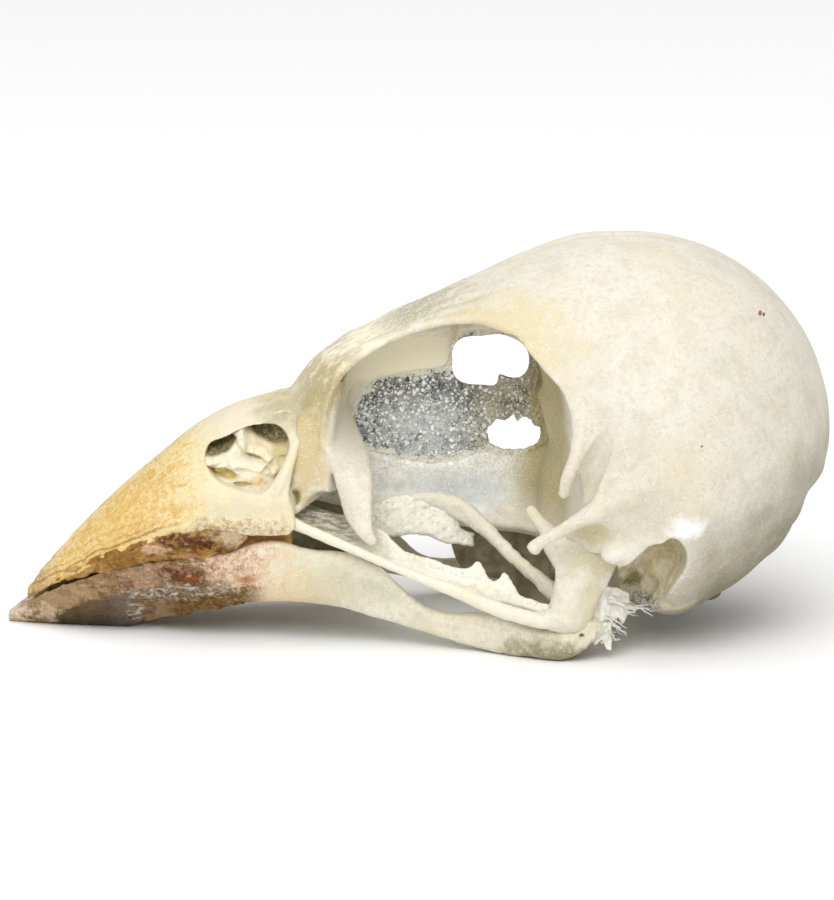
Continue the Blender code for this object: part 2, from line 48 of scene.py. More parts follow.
SIDES = ((LEFT, "left"), (RIGHT, "right"))
COARSE = 1.0   # voxels and cells are this much larger
MOST_TRIANGLES = 190_000              # in one skin


# Cranium, in mm
CROWN_X, CROWN_LENGTH, CROWN_HEIGHT = 7.7, 7.36, 7.12
NAPE_X, NAPE_LENGTH, NAPE_DEPTH = 14.45, 1.0, 2.085
EQUATOR = 7.3
WIDEST_X, WIDEST_LENGTH, HALF_WIDTH = 8.8, 6.26, 7.55
CRANIUM_BACK = 15.06
SOCKET_REAR, SOCKET_HALF_WIDTH = 4.3, 6.4
SHELL_SCALE = 0.93

# Bill, in mm
BILL_TIP, BILL_HINGE = -14.35, -4.35
ARCH_ROUNDNESS = 0.92                 # power of the sine that gives the arch its height
HINGE_UPRIGHT = 0.62                  # how upright the arch stands at the hinge; 1 is a plain arch
NOSTRIL_X, NOSTRIL_Z = -6.1, 6.8
HORN_FRONT, HORN_REAR = -13.3, -6.15

# Lower jaw, in mm
JAW_TIP, CHIN_REAR, JAW_REAR = -15.06, -9.5, 6.45

# View and light, in metres, degrees and watts; the lens and its sensor in mm
VIEW_TARGET, VIEW_DISTANCE, VIEW_ANGLE = (0, 0, 0.0064), 0.2, 12
LENS, SENSOR, NEAREST = 218.64, 36, 0.01
LAMP_TARGET = (0.002, 0, 0.006)
LAMPS = (("key", (-0.06, -0.32, 0.32), 0.34, 1.35), ("top", (0.02, 0.04, 0.4), 0.45, 0.62))
ROOM_LIGHT, FLOOR_TONE, FLOOR_REACH = 0.56, 0.95, 1.5


# ---------------------------------------------------------------- curves and grids

def through(stations, at):
    """A smooth curve through (place, value) stations: cubic pieces whose slopes are the stations' own."""
    place, value = np.array(stations, float).T
    slope = np.gradient(value, place)
    at = np.clip(np.asarray(at, float), place[0], place[-1])
    i = np.clip(np.searchsorted(place, at) - 1, 0, len(place) - 2)
    h = place[i + 1] - place[i]
    t = (at - place[i]) / h
    ends = value[i] * (1 + 2 * t) * (1 - t) ** 2 + value[i + 1] * t * t * (3 - 2 * t)
    return ends + h * (slope[i] * t * (1 - t) ** 2 - slope[i + 1] * t * t * (1 - t))


def smooth(points, at):
    """A smooth curve through points, read at shares of the way from the first to the last."""
    points = np.asarray(points, float)
    place = np.linspace(0, 1, len(points))
    return np.stack([through(list(zip(place, values)), at) for values in points.T], axis=-1)


def smooth_ring(outline, count):
    """Points along the smooth closed curve through an outline's corners."""
    return smooth(np.concatenate([outline, outline[:1]]), np.linspace(0, 1, count, endpoint=False))


def step(low, high, x):
    """0 below low, 1 above high, and the curve 3t^2 - 2t^3 between them."""
    t = np.clip((np.asarray(x, float) - low) / (high - low), 0, 1)
    return t * t * (3 - 2 * t)


def hump(x, middle, width):
    """A bell curve: e to the minus ((x - middle) / width) squared."""
    return np.exp(-((np.asarray(x, float) - middle) / width) ** 2)


def uneven(points, size, seed):
    """Smooth random heights from -1 to 1: random values on a lattice of this size, eased between its
    corners."""
    lattice = np.random.default_rng(seed).uniform(-1, 1, (32, 32, 32))
    place = np.asarray(points, float) / size
    cell = np.floor(place).astype(int)
    share = place - cell
    share = share * share * (3 - 2 * share)
    total = 0
    for corner in np.ndindex(2, 2, 2):
        weight = np.prod(np.where(corner, share, 1 - share), axis=-1)
        at = (cell + corner) % 32
        total = total + weight * lattice[at[..., 0], at[..., 1], at[..., 2]]
    return total


def spread(*parts):
    """Stacks arrays of any fitting shapes as the x, y and z of a grid of points."""
    return np.stack(np.broadcast_arrays(*parts), axis=-1).astype(float)


def on_side(side, *points):
    """Points given with Y outward, for this side of the skull."""
    return np.array(points) * (1, side, 1)


# ---------------------------------------------------------------- bodies: (corners, faces)

def facing_out(corners, faces):
    """Turns a closed body's faces round when its signed volume, the sum of a . (b x c) / 6, is negative."""
    triangles = np.array([(f[0], f[k], f[k + 1]) for f in faces for k in range(1, len(f) - 1)])
    a, b, c = (corners[triangles[:, k]] for k in range(3))
    if np.einsum("ij,ij->", a, np.cross(b, c)) < 0:
        faces = [f[::-1] for f in faces]
    return corners, faces


def tube(rings):
    """A closed body from rings of points: quads between neighbours, each end closed by a fan about its
    middle."""
    rings = np.asarray(rings, float)
    count, around = rings.shape[:2]
    here = np.arange(count * around).reshape(count, around)
    beside = np.roll(here, -1, axis=1)
    quads = np.stack([here[:-1], beside[:-1], beside[1:], here[1:]], axis=-1).reshape(-1, 4)
    first, last = count * around, count * around + 1
    start = np.stack([np.full(around, first), beside[0], here[0]], axis=-1)
    end = np.stack([np.full(around, last), here[-1], beside[-1]], axis=-1)
    corners = np.concatenate([rings.reshape(-1, 3), rings[:1].mean(axis=1), rings[-1:].mean(axis=1)])
    return facing_out(corners, quads.tolist() + start.tolist() + end.tolist())


def plate(middle, thickness, edge):
    """A curved plate: a grid of middle points moved half the thickness to both sides along its normals, the
    thickness falling to nothing along the border as a quarter circle over the shares in edge."""
    middle = np.asarray(middle, float)
    normal = np.cross(np.gradient(middle, axis=0), np.gradient(middle, axis=1))
    normal /= np.maximum(np.linalg.norm(normal, axis=2, keepdims=True), 1e-9)
    u = np.linspace(0, 1, middle.shape[0])[:, None]
    v = np.linspace(0, 1, middle.shape[1])[None]
    near = np.minimum(np.minimum(u, 1 - u) / edge[0], np.minimum(v, 1 - v) / edge[1])
    round_off = np.sqrt(np.clip(1 - (1 - np.clip(near, 0, 1)) ** 2, 0.004, 1))
    half = (np.broadcast_to(np.asarray(thickness, float), middle.shape[:2]) / 2 * round_off)[..., None]
    return tube(np.concatenate([middle + half * normal, (middle - half * normal)[:, ::-1]], axis=1))


def rod(path, wide, tall, around=24, steps=48, ends=(True, True)):
    """A rod along a smooth path. Each ring is an ellipse of half sizes wide, level, and tall, upright; the
    rings shrink to a round end over one half size."""
    at = np.linspace(0, 1, steps)
    centre = smooth(path, at)
    length = np.linalg.norm(np.diff(centre, axis=0), axis=1).sum()
    half_wide, half_tall = smooth(np.stack([wide, tall], axis=1), at).T
    shape = np.ones(steps)
    for on, far, half in ((ends[0], at, half_tall[0]), (ends[1], 1 - at, half_tall[-1])):
        if on:
            near = np.clip(far * length / max(half, 0.05), 0, 1)
            shape = shape * np.sqrt(np.clip(1 - (1 - near) ** 2, 0.01, 1))
    forward = np.gradient(centre, axis=0)
    forward /= np.linalg.norm(forward, axis=1, keepdims=True)
    side = np.cross(forward, (0, 0, 1))
    side /= np.linalg.norm(side, axis=1, keepdims=True)
    up = np.cross(side, forward)
    angle = np.linspace(0, 2 * math.pi, around, endpoint=False)[None, :, None]
    rings = centre[:, None] + np.cos(angle) * (half_wide * shape)[:, None, None] * side[:, None]
    return tube(rings + np.sin(angle) * (half_tall * shape)[:, None, None] * up[:, None])


def ball(centre, radii):
    """An ellipsoid: centre + radii times the unit direction at each polar and turning angle."""
    polar = np.linspace(0.02, math.pi - 0.02, 20)[:, None]
    turn = np.linspace(0, 2 * math.pi, 36, endpoint=False)[None]
    unit = spread(np.sin(polar) * np.cos(turn), np.sin(polar) * np.sin(turn), np.cos(polar))
    return tube(np.asarray(centre) + unit * np.asarray(radii))


def cup(outline, centre, mouth, turn_in, bottom, side):
    """A closed tool whose mouth is an outline in X and Z: straight from |Y| = mouth to turn_in, then drawn
    in toward its centre as the cosine of an angle, to a power, while |Y| goes to the bottom as its sine."""
    ring = smooth_ring(outline, 72)
    angle = np.linspace(0, math.pi / 2 * 0.97, 14)
    share = np.concatenate([[1, 1], np.cos(angle[1:]) ** 0.6])[:, None]
    depth = np.concatenate([[mouth, turn_in], turn_in + (bottom - turn_in) * np.sin(angle[1:])])[:, None]
    x = centre[0] + (ring[None, :, 0] - centre[0]) * share
    z = centre[1] + (ring[None, :, 1] - centre[1]) * share
    return tube(spread(x, side * depth, z))


def object_of(name, bodies):
    """One mesh object, still in millimetres, from several bodies."""
    corners, faces, start = [], [], 0
    for body_corners, body_faces in bodies:
        corners.append(body_corners)
        faces += [tuple(k + start for k in f) for f in body_faces]
        start += len(body_corners)
    mesh = bpy.data.meshes.new(name)
    mesh.from_pydata(np.concatenate(corners).tolist(), [], faces)
    mesh.update()
    made = bpy.data.objects.new(name, mesh)
    bpy.context.scene.collection.objects.link(made)
    return made


def corners_of(made):
    """A mesh's corners as an array of points."""
    corners = np.empty(len(made.data.vertices) * 3)
    made.data.vertices.foreach_get("co", corners)
    return corners.reshape(-1, 3)


def marked(made, name, values):
    """Stores one number for each corner, for a finish to read by its name."""
    values = np.asarray(values, np.float32)
    made.data.attributes.new(name, "FLOAT", "POINT").data.foreach_set("value", values)


def applied(made):
    """The object with its modifiers worked into its mesh."""
    bpy.context.view_layer.update()
    seen = made.evaluated_get(bpy.context.evaluated_depsgraph_get())
    mesh = bpy.data.meshes.new_from_object(seen)
    made.modifiers.clear()
    old, made.data = made.data, mesh
    bpy.data.meshes.remove(old)
    mesh.name = made.name
    return made


def fused(name, bodies, base=None, cuts=(), *, voxel, rounds):
    """Bodies grown into one skin: tools are cut out of the base body, all is joined and laid over with one
    closed voxel skin, smoothed in rounds and thinned to MOST_TRIANGLES if it has more."""
    cutters = []
    if base is not None:
        made = object_of(name, [base])
        for k, tool in enumerate(cuts):
            cutter = object_of(f"{name}_tool_{k}", [tool])
            cutters.append(cutter)
            change = made.modifiers.new("cut", "BOOLEAN")
            change.operation, change.solver, change.object = "DIFFERENCE", "EXACT", cutter
        applied(made)
        whole = (corners_of(made), [tuple(face.vertices) for face in made.data.polygons])
        for thing in [made] + cutters:
            bpy.data.objects.remove(thing)
        bodies = [whole] + list(bodies)
    made = object_of(name, bodies)
    skin = made.modifiers.new("skin", "REMESH")
    skin.mode, skin.voxel_size, skin.adaptivity = "VOXEL", voxel * COARSE, 0.0
    ease = made.modifiers.new("ease", "SMOOTH")
    ease.factor, ease.iterations = 0.5, rounds
    applied(made)
    triangles = 2 * len(made.data.polygons)
    if triangles > MOST_TRIANGLES:
        thin = made.modifiers.new("thin", "DECIMATE")
        thin.ratio = MOST_TRIANGLES / triangles
        applied(made)
    return made


def worked(made, relief):
    """Moves each corner along its normal by relief(points), in millimetres: fine forms worked into a
    finished skin."""
    mesh = made.data
    points = corners_of(made)
    normals = np.empty(len(mesh.vertices) * 3)
    mesh.vertex_normals.foreach_get("vector", normals)
    points = points + normals.reshape(-1, 3) * relief(points)[:, None]
    mesh.vertices.foreach_set("co", points.ravel())
    mesh.update()
    return made


def done(made, finish, nodes=()):
    """Turns a millimetre mesh into metres, none of it below the floor, gives it its finish and sets it on
    the frame."""
    corners = corners_of(made)
    corners[:, 2] = np.maximum(corners[:, 2], 0)
    made.data.vertices.foreach_set("co", (corners * MM).ravel())
    made.data.polygons.foreach_set("use_smooth", np.ones(len(made.data.polygons), bool))
    made.data.materials.clear()
    made.data.materials.append(finish)
    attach(made, "root")
    if nodes:
        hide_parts(*nodes)
    return made


# ---------------------------------------------------------------- cranium

def crown(x):
    """Height of the skull's top along its middle: a rising curve, then a quarter ellipse behind CROWN_X."""
    slope = through(((-4.85, 8.5), (-4.46, 8.95), (-4.28, 9.22), (-3.84, 9.76), (-3.4, 10.06), (-1.4, 11.1),
                     (0.5, 12.05), (2.3, 12.92), (4.1, 13.72), (5.9, 14.32),
                     (CROWN_X, EQUATOR + CROWN_HEIGHT)), x)
    back = EQUATOR + CROWN_HEIGHT * np.sqrt(np.clip(1 - ((x - CROWN_X) / CROWN_LENGTH) ** 2, 0, 1))
    return np.where(x < CROWN_X, slope, back)


def base_height(x):
    """Height of the skull's underside along its middle: a curve, then a quarter ellipse up the nape."""
    front = through(((3.0, 4.5), (4.4, 3.6), (6.0, 2.6), (8.0, 1.25), (9.5, 0.85), (10.6, 1.1), (11.5, 1.55),
                     (12.55, 2.42), (13.43, 3.3), (13.76, 3.95), (13.94, 4.66), (NAPE_X, 5.38)), x)
    turn = (x - CRANIUM_BACK + NAPE_LENGTH) / NAPE_LENGTH
    back = EQUATOR - NAPE_DEPTH * np.sqrt(np.clip(1 - turn ** 2, 0, 1))
    return np.where(x < NAPE_X, front, back)


def half_width(x):
    """Half the braincase's width: a curve, then a quarter ellipse behind its widest place."""
    front = through(((3.0, 6.0), (3.9, 6.45), (5.5, 6.9), (7.0, 7.3), (WIDEST_X, HALF_WIDTH)), x)
    back = HALF_WIDTH * np.sqrt(np.clip(1 - ((x - WIDEST_X) / WIDEST_LENGTH) ** 2, 0, 1))
    return np.where(x < WIDEST_X, front, back)


def head_ring(x, turn):
    """The braincase's outline across x: |y/a|^n + |z/b|^n = 1 about a level, with n 2.05 above and fuller
    below."""
    level = through(((3.0, 7.5), (6.0, 6.9), (9.0, 6.8), (12.0, 7.1), (CRANIUM_BACK, EQUATOR)), x)
    c, s = np.cos(turn), np.sin(turn)
    fullness = np.where(s < 0, through(((5, 2.3), (8, 3.1), (9.3, 3.0), (10.6, 2.1), (12, 2.0)), x), 2.05)
    reach = 1 / (np.abs(c) ** fullness + np.abs(s) ** fullness) ** (1 / fullness)
    tall = np.where(s < 0, level - base_height(x), crown(x) - level)
    return half_width(x) * c * reach, level + tall * s * reach


def socket_wall(y, z):
    """X of an eye socket's back wall: deepest at the middle, out to the rim in a slope with one low
    ridge."""
    rim = through(((1.0, 4.6), (3.4, 4.8), (4.4, 5.3), (5.2, 5.8), (6.0, 5.95), (6.9, 5.75), (7.6, 5.6),
                   (8.45, 5.55), (9.3, 5.35), (9.99, 5.02), (10.42, 4.55), (10.98, 4.0), (11.5, 3.5),
                   (11.78, 2.9)), z)
    middle = np.minimum(rim, SOCKET_REAR + 0.5 * hump(z, 7.1, 0.9) + 0.12 * hump(z, 9.3, 0.6))
    out = np.clip(np.abs(y) / SOCKET_HALF_WIDTH, 0, 1)
    share = through(((0, 0), (0.12, 0.05), (0.36, 0.30), (0.44, 0.56), (0.56, 0.72), (0.8, 0.9), (1, 1)), out)
    return middle + (rim - middle) * share


def dome():
    """The braincase's outside. The back wall of the sockets is a fan of points from the middle to the rim,
    lying on socket_wall; from the rim the head's rings run back to the nape. The rim is where the two meet,
    found by going half the way there time after time."""
    turn = np.linspace(0, 2 * math.pi, 192, endpoint=False)
    edge = np.full_like(turn, 4.5)
    for _ in range(16):
        edge = 0.5 * edge + 0.5 * socket_wall(*head_ring(edge, turn))
    y_edge, z_edge = head_ring(edge, turn)
    out = np.linspace(0.02, 0.985, 36)[:, None]
    y, z = out * y_edge, EQUATOR + out * (z_edge - EQUATOR)
    wall = spread(socket_wall(y, z), y, z)
    back = np.sin(np.linspace(0, 1, 120) * math.pi / 2)[:, None]
    x = edge + (CRANIUM_BACK - 0.005 - edge) * back
    y, z = head_ring(x, turn[None])
    return tube(np.concatenate([wall, spread(x, y, z)]))


def brain_room():
    """The hollow inside: the head's rings drawn in toward the middle, rounded off behind the sockets, with
    a raised floor in front of the ears."""
    turn = np.linspace(0, 2 * math.pi, 64, endpoint=False)[None]
    inner = 5.55 + 9.1 * np.sin(np.linspace(0, 1, 40) * math.pi / 2)[:, None]
    outer = 9.3 + (inner - 9.3) / SHELL_SCALE
    y, z = head_ring(np.minimum(outer, CRANIUM_BACK - 0.03), turn)
    shrink = np.sqrt(np.clip(1 - (np.clip(7.1 - inner, 0, 1.5) / 1.5) ** 2, 0.002, 1))
    y = y * SHELL_SCALE * shrink
    z = EQUATOR + (z - EQUATOR) * SHELL_SCALE * shrink
    z = np.maximum(z, through(((5.5, 5.8), (7.6, 5.5), (8.9, 1.6), (15.0, 1.6)), inner))
    y = np.where((z < 5.4) & (inner < 11), np.clip(y, -3.5, 3.5), y)
    return tube(spread(inner, y, z))


def foramen():
    """The round opening for the spine, facing down and back."""
    away = np.array((math.sin(math.radians(32)), 0, -math.cos(math.radians(32))))
    centre = np.array((12.3, 0.0, 1.9))
    return rod([centre - 2.2 * away, centre, centre + 2.2 * away], [1.7] * 3, [1.45] * 3, 40, 6,
               (False, False))


def jaw_room(side):
    """The room for the jaw's joint below the side wall, whose top is the wall's lower border."""
    outline = [(3.2, 0.2), (3.2, 5.3), (4.4, 4.95), (4.81, 4.66), (5.41, 4.24), (6.04, 3.98), (6.75, 3.96),
               (7.1, 3.62), (7.5, 2.6), (7.5, 1.5), (7.2, 0.2)]
    return cup(outline, (5.9, 2.2), 9.0, 6.7, 3.3, side)


def ear_room(side):
    """The ear's hollow, egg-shaped and open toward the jaw's joint and at its foot."""
    outline = [(6.9, 2.8), (7.14, 3.46), (7.53, 3.72), (7.89, 4.12), (8.24, 4.47), (8.66, 4.58),
               (9.02, 4.84), (9.32, 4.66), (9.54, 4.14), (9.5, 3.58), (9.15, 3.0), (8.71, 2.18),
               (8.31, 1.51), (8.1, 0.4), (6.9, 0.4)]
    return cup(outline, (8.4, 3.0), 9.0, 6.3, 4.4, side)


def temple_valley(side):
    """The hollow behind the process that hangs from the socket's rim."""
    path = on_side(side, (6.75, 7.3, 8.8), (6.32, 7.25, 7.7), (5.98, 7.2, 6.9), (5.6, 7.05, 6.2),
                         (4.9, 6.8, 5.6))
    return rod(path, [0.2, 0.55, 0.8, 1.0, 1.3], [0.3, 0.36, 0.42, 0.5, 0.44], 28, 40)


def ear_floor(side):
    """The low front of the ear's hollow, open beside the jaw's joint."""
    return ball((7.75, 5.6 * side, 2.15), (0.62, 1.5, 0.8))


def roof_half(x):
    """Half the frontal bone's width between the sockets' rims."""
    return through(((-4.6, 1.1), (-4.2, 1.6), (-3.8, 2.2), (-3.4, 2.7), (-3.0, 2.9), (-1.7, 2.5), (0.1, 2.45),
                    (1.3, 2.85), (2.4, 3.6), (3.0, 4.2), (4.4, 5.2)), x)


def roof_rim(x):
    """Height of the frontal bone's side edges, the sockets' upper rims."""
    return through(((-4.6, 8.15), (-4.2, 8.25), (-3.8, 8.75), (-3.2, 9.5), (-1.7, 10.6), (0.1, 11.4),
                    (1.3, 11.72), (2.4, 11.82), (3.0, 11.72), (4.4, 11.5)), x)


def roof():
    """The frontal bone carried along x: its top is arched, its underside is a quarter ellipse on each side
    that runs down into the upper edge of the wall between the eyes."""
    x = np.linspace(-4.6, 4.4, 120)[:, None]
    half, rim, foot = roof_half(x), roof_rim(x), keel_foot(x)
    across = np.linspace(1, -1, 41)[None]
    top = crown(x) - (crown(x) - rim - 0.08) * np.abs(across) ** 2.2 - 0.03 * step(2.6, 3.4, x)
    turn = np.linspace(0.5 * math.pi, 0, 22)[None]
    y_in = half * 0.985 - (half * 0.985 - 0.17) * np.cos(turn)
    z_in = foot + (rim - 0.16 - foot) * np.sin(turn) ** 0.8
    left = spread(x, -y_in, z_in)
    right = spread(x, y_in[:, ::-1], z_in[:, ::-1])
    return tube(np.concatenate([spread(x, half * across, top), left, right], axis=1))


def keel_foot(x):
    """Height of the upper edge of the thin part of the wall between the eyes."""
    return through(((-4.8, 7.2), (-3.95, 7.4), (-2.6, 7.6), (-2.2, 8.3), (-1.65, 8.95), (-0.9, 9.2),
                    (0.1, 9.38), (0.9, 9.5), (1.15, 9.62), (1.45, 10.55), (1.8, 10.78), (2.6, 10.86),
                    (3.5, 10.72), (4.1, 10.3), (4.4, 10.0)), x)


def sill(x):
    """Height of the lower edge of the thin part of the wall between the eyes."""
    return through(((-3.95, 7.9), (-2.5, 7.15), (-2.0, 6.6), (-1.2, 6.25), (-0.4, 6.08), (0.5, 5.98),
                    (1.4, 6.05), (2.1, 6.3), (2.7, 6.38), (3.3, 6.28), (3.9, 6.35), (4.6, 6.6)), x)


def keel():
    """The lower half of the wall between the eyes, carried along x: thin above, swelling to a rounded foot,
    and flaring at its rear into the back wall of the sockets."""
    x = np.linspace(-3.95, 4.9, 120)[:, None]
    top = sill(x)
    foot = through(((-3.95, 4.6), (-2.0, 4.15), (0.0, 3.85), (2.0, 3.55), (4.9, 3.3)), x)
    foot_half = through(((-3.95, 0.35), (-1.0, 0.42), (1.5, 0.55), (4.9, 0.85)), x)
    up = np.sin(np.linspace(-0.5, 0.5, 40) * math.pi)[None] * 0.5 + 0.5
    z = foot + (top - foot) * up
    bulge = np.sqrt(np.clip(1 - ((up * (top - foot) - 0.35) / 0.42) ** 2, 0, 1))
    half = np.maximum(0.17 * np.sqrt(np.clip(1 - (2 * up - 1) ** 16, 0.02, 1)), foot_half * bulge)
    half = half + 0.25 * step(0.55, 0.0, up) * step(0.0, 0.12, up)
    half = half + 1.3 * np.clip((x - 3.4) / 1.5, 0, 1) ** 2 * (1 - 0.75 * step(0.75, 1.0, up))
    return tube(np.concatenate([spread(x, half, z), spread(x, -half, z)[:, ::-1]], axis=1))


def cheek_foot(x):
    """Height of the lower border of the bone in front of a socket: a low strip beside the bill, then an
    arch."""
    return through(((-4.8, 4.66), (-4.3, 4.72), (-4.14, 5.0), (-3.84, 5.34), (-3.48, 5.54), (-3.1, 5.5),
                    (-1.9, 5.4)), x)


def cheek_block(side):
    """The bone that closes the front of a socket. Its outline seen from above goes up from low through
    middle to high by the shares (1 - u)^2, 2u(1 - u) and u^2; its foot follows cheek_foot and its top the
    roof's rim."""
    up = np.linspace(0, 1, 48)[:, None, None]
    low = [(-4.5, -0.1), (-4.72, 2.95), (-4.35, 3.16), (-3.85, 3.06), (-3.4, 3.14), (-3.12, 3.1),
           (-2.75, 2.3), (-2.4, 1.2), (-1.95, 0.35), (-1.9, -0.1)]
    middle = [(-4.35, -0.1), (-4.46, 2.55), (-4.12, 2.86), (-3.68, 2.9), (-3.3, 3.06), (-3.08, 2.95),
              (-2.98, 2.1), (-2.92, 1.1), (-2.85, 0.32), (-2.85, -0.1)]
    high = [(-4.1, -0.1), (-4.14, 1.8), (-3.78, 2.1), (-3.35, 2.45), (-2.95, 2.85), (-2.72, 2.7),
            (-2.55, 2.0), (-2.4, 1.0), (-2.25, 0.3), (-2.2, -0.1)]
    low, middle, high = (smooth_ring(outline, 72) for outline in (low, middle, high))
    flat = low * (1 - up) ** 2 + middle * 2 * up * (1 - up) + high * up ** 2
    foot = cheek_foot(flat[..., 0])
    z = foot + (9.5 - foot) * up[..., 0]
    under_roof = np.minimum(z, roof_rim(flat[..., 0]) - 0.12)
    return tube(spread(flat[..., 0], side * flat[..., 1], np.maximum(under_roof, foot + 0.5 * (z - foot))))


def cheek_blade(side):
    """The plate below the crest: its front edge follows the crest down, its rear edge hangs free, and both
    meet in a point below. It is ruled between the two edges and bowed outward."""
    at = np.linspace(0, 1, 70)[:, None]
    along = np.linspace(0, 1, 30)[None]
    place = (0, 0.12, 0.25, 0.4, 0.55, 0.75, 0.92, 1)

    def edge(x, y, z):
        """One edge of the blade, through its points at the places."""
        return [through(list(zip(place, values)), at) for values in (x, y, z)]
    rear = edge((-2.75, -2.5, -2.02, -1.66, -1.58, -1.58, -1.57, -1.44),
                (0.25, 0.4, 1.2, 2.5, 3.45, 3.98, 4.22, 4.32), (8.9, 8.0, 7.1, 6.45, 5.8, 4.9, 4.2, 3.86))
    fore = edge((-3.05, -3.3, -3.4, -3.15, -2.84, -2.5, -1.95, -1.5),
                (2.88, 3.0, 3.08, 3.18, 3.36, 3.7, 4.12, 4.3), (9.0, 8.1, 7.3, 6.5, 5.5, 4.6, 4.1, 3.84))
    x, y, z = (a + (b - a) * along for a, b in zip(rear, fore))
    return plate(spread(x, side * (y + 0.16 * np.sin(math.pi * along)), z), 0.34, (0.03, 0.14))


def rim_crest(side):
    """The thin raised border from the roof down the front of the socket."""
    path = on_side(side, (-1.7, 2.45, 10.55), (-2.5, 2.72, 10.0), (-2.95, 2.94, 9.45), (-3.28, 3.04, 8.6),
                         (-3.42, 3.04, 7.7), (-3.45, 3.02, 7.0))
    return rod(path, [0.1, 0.13, 0.12, 0.11, 0.09, 0.05], [0.1, 0.12, 0.12, 0.11, 0.09, 0.05], 16, 50)


def cheek_process(side):
    """The process that points from the side wall toward the jugal bar: a knobbed rod flaring into a
    ridge."""
    path = on_side(side, (8.6, 6.5, 6.5), (7.3, 6.85, 6.15), (6.46, 7.0, 5.72), (5.58, 6.98, 5.18),
                         (4.95, 6.88, 4.82), (4.38, 6.78, 4.5), (4.02, 6.7, 4.12))
    return rod(path, [1.0, 0.7, 0.42, 0.3, 0.25, 0.22, 0.28], [1.5, 0.75, 0.45, 0.32, 0.25, 0.22, 0.3],
               28, 70, (False, True))


def brow_process(side):
    """The process that hangs behind the socket from its rim."""
    path = on_side(side, (5.85, 6.1, 9.3), (5.8, 6.6, 8.4), (5.62, 6.78, 7.6), (5.33, 6.72, 6.8),
                         (5.17, 6.55, 6.02))
    return rod(path, [0.5, 0.36, 0.3, 0.26, 0.2], [0.5, 0.36, 0.28, 0.24, 0.16], 24, 44, (False, True))


def wall_flange(side):
    """The blunt corner of the side wall above the jaw's joint."""
    return ball((7.02, 6.72 * side, 4.05), (0.52, 0.36, 0.36))


def ear_knob(side):
    """The rounded bulge inside the ear's hollow."""
    return ball((8.95, 4.2 * side, 3.3), (0.9, 0.8, 0.95))


def condyle():
    """The round knob below the opening for the spine."""
    return ball((10.75, 0, 1.2), (0.5, 0.55, 0.45))


def cranium_relief(points):
    """Fine forms of the cranium's skin, each a sum of bell curves kept to its place by steps: furrows along
    the roof's middle and brows, the nape's crest, the temple's and cheek's hollows, the ear's bulge, two
    ribs on the sockets' back wall, and a slight unevenness all over."""
    x, y, z = points.T
    out = np.abs(y)
    above = step(8.5, 11, z) * step(-2.5, 0.5, x)
    wander = y + 0.12 * uneven(points, 1.7, 8)
    furrow = -0.10 * hump(wander, 0, 0.22) * above * step(13.0, 9.0, x)
    furrow = furrow + 0.05 * hump(np.abs(wander), 0.62, 0.25) * above * step(12.0, 7.0, x)
    furrow = furrow * (0.8 + 0.5 * uneven(points, 1.2, 9))
    across = out / roof_half(x)
    brow = step(9.2, 10.0, z) * step(-3.8, -3.0, x) * step(2.8, 1.6, x)
    brow = brow * (0.7 + 0.6 * uneven(points, 0.9, 10))
    furrow = furrow + brow * (-0.11 * hump(across, 0.66, 0.09) + 0.07 * hump(across, 0.84, 0.09))
    crest_height = 9.4 - 0.11 * out ** 2
    behind = step(11.8, 13.0, x)
    nape = behind * (0.10 * hump(z, crest_height - 3.6, 0.35) - 0.12 * hump(z, crest_height - 4.4, 0.5))
    temple = -0.18 * hump(x, 6.9, 0.8) * hump(z, 7.4, 1.3) * step(5.0, 6.2, out)
    temple = temple - 0.34 * hump(x, 6.35, 0.75) * hump(z, 4.72 + 0.1 * (x - 6.3), 0.36) * step(5.3, 6.2, out)
    ear = 0.17 * hump(x, 9.55, 0.75) * hump(z, 5.35, 0.55) * step(4.5, 6.0, out)
    pit = -0.42 * hump(x, -4.4, 0.15) * hump(z, 5.3, 0.24) * step(2.5, 2.9, out)
    inner = step(5.5, 5.1, x) * step(3.6, 4.2, x) * step(5.0, 4.2, out)
    ribs = 0.16 * inner * step(0.5, 1.1, out) * hump(z - 9.0 + 0.3 * (out - 1.0), 0, 0.24)
    ribs = ribs + 0.1 * inner * step(0.8, 1.4, out) * hump(z - 7.4 + 0.2 * (out - 1.0), 0, 0.3)
    hollow = hump(np.hypot(x - 8.5, z - 3.0), 0, 1.1) * step(6.3, 5.6, out) * step(3.5, 4.2, out)
    grain = 0.018 * uneven(points, 1.3, 5) + 0.008 * uneven(points, 0.45, 6)
    grain = grain + 0.14 * hollow * uneven(points, 0.5, 7)
    return furrow + nape + temple + ear + grain + pit + ribs


def brow_lines(points):
    """1 on three fine lines along each brow, at shares of the roof's half width, easing to 0 beside
    them."""
    x, y, z = points.T
    across = np.abs(y) / roof_half(x) + 0.03 * uneven(points, 0.9, 10)
    lines = hump(across, 0.66, 0.035) + 0.7 * hump(across, 0.9, 0.03) + 0.5 * hump(across, 0.5, 0.03)
    return lines * step(9.0, 9.8, z) * step(-4.0, -3.2, x) * step(3.2, 1.8, x)


def cranium(finish):
    """The whole braincase, roof, socket walls and keel, grown together."""
    parts = [roof(), keel(), condyle()]
    tools = [brain_room(), foramen()]
    for side, _ in SIDES:
        parts += [cheek_block(side), cheek_blade(side), rim_crest(side), cheek_process(side),
                  brow_process(side), wall_flange(side), ear_knob(side)]
        tools += [jaw_room(side), ear_room(side), ear_floor(side), temple_valley(side)]
    made = fused("cranium", parts, dome(), tools, voxel=0.085, rounds=5)
    worked(made, cranium_relief)
    marked(made, "brow_line", brow_lines(corners_of(made)))
    nodes = ["braincase", "frontal_roof", "parasphenoid_rostrum", "ectethmoid_left", "ectethmoid_right"]
    return done(made, finish, nodes)


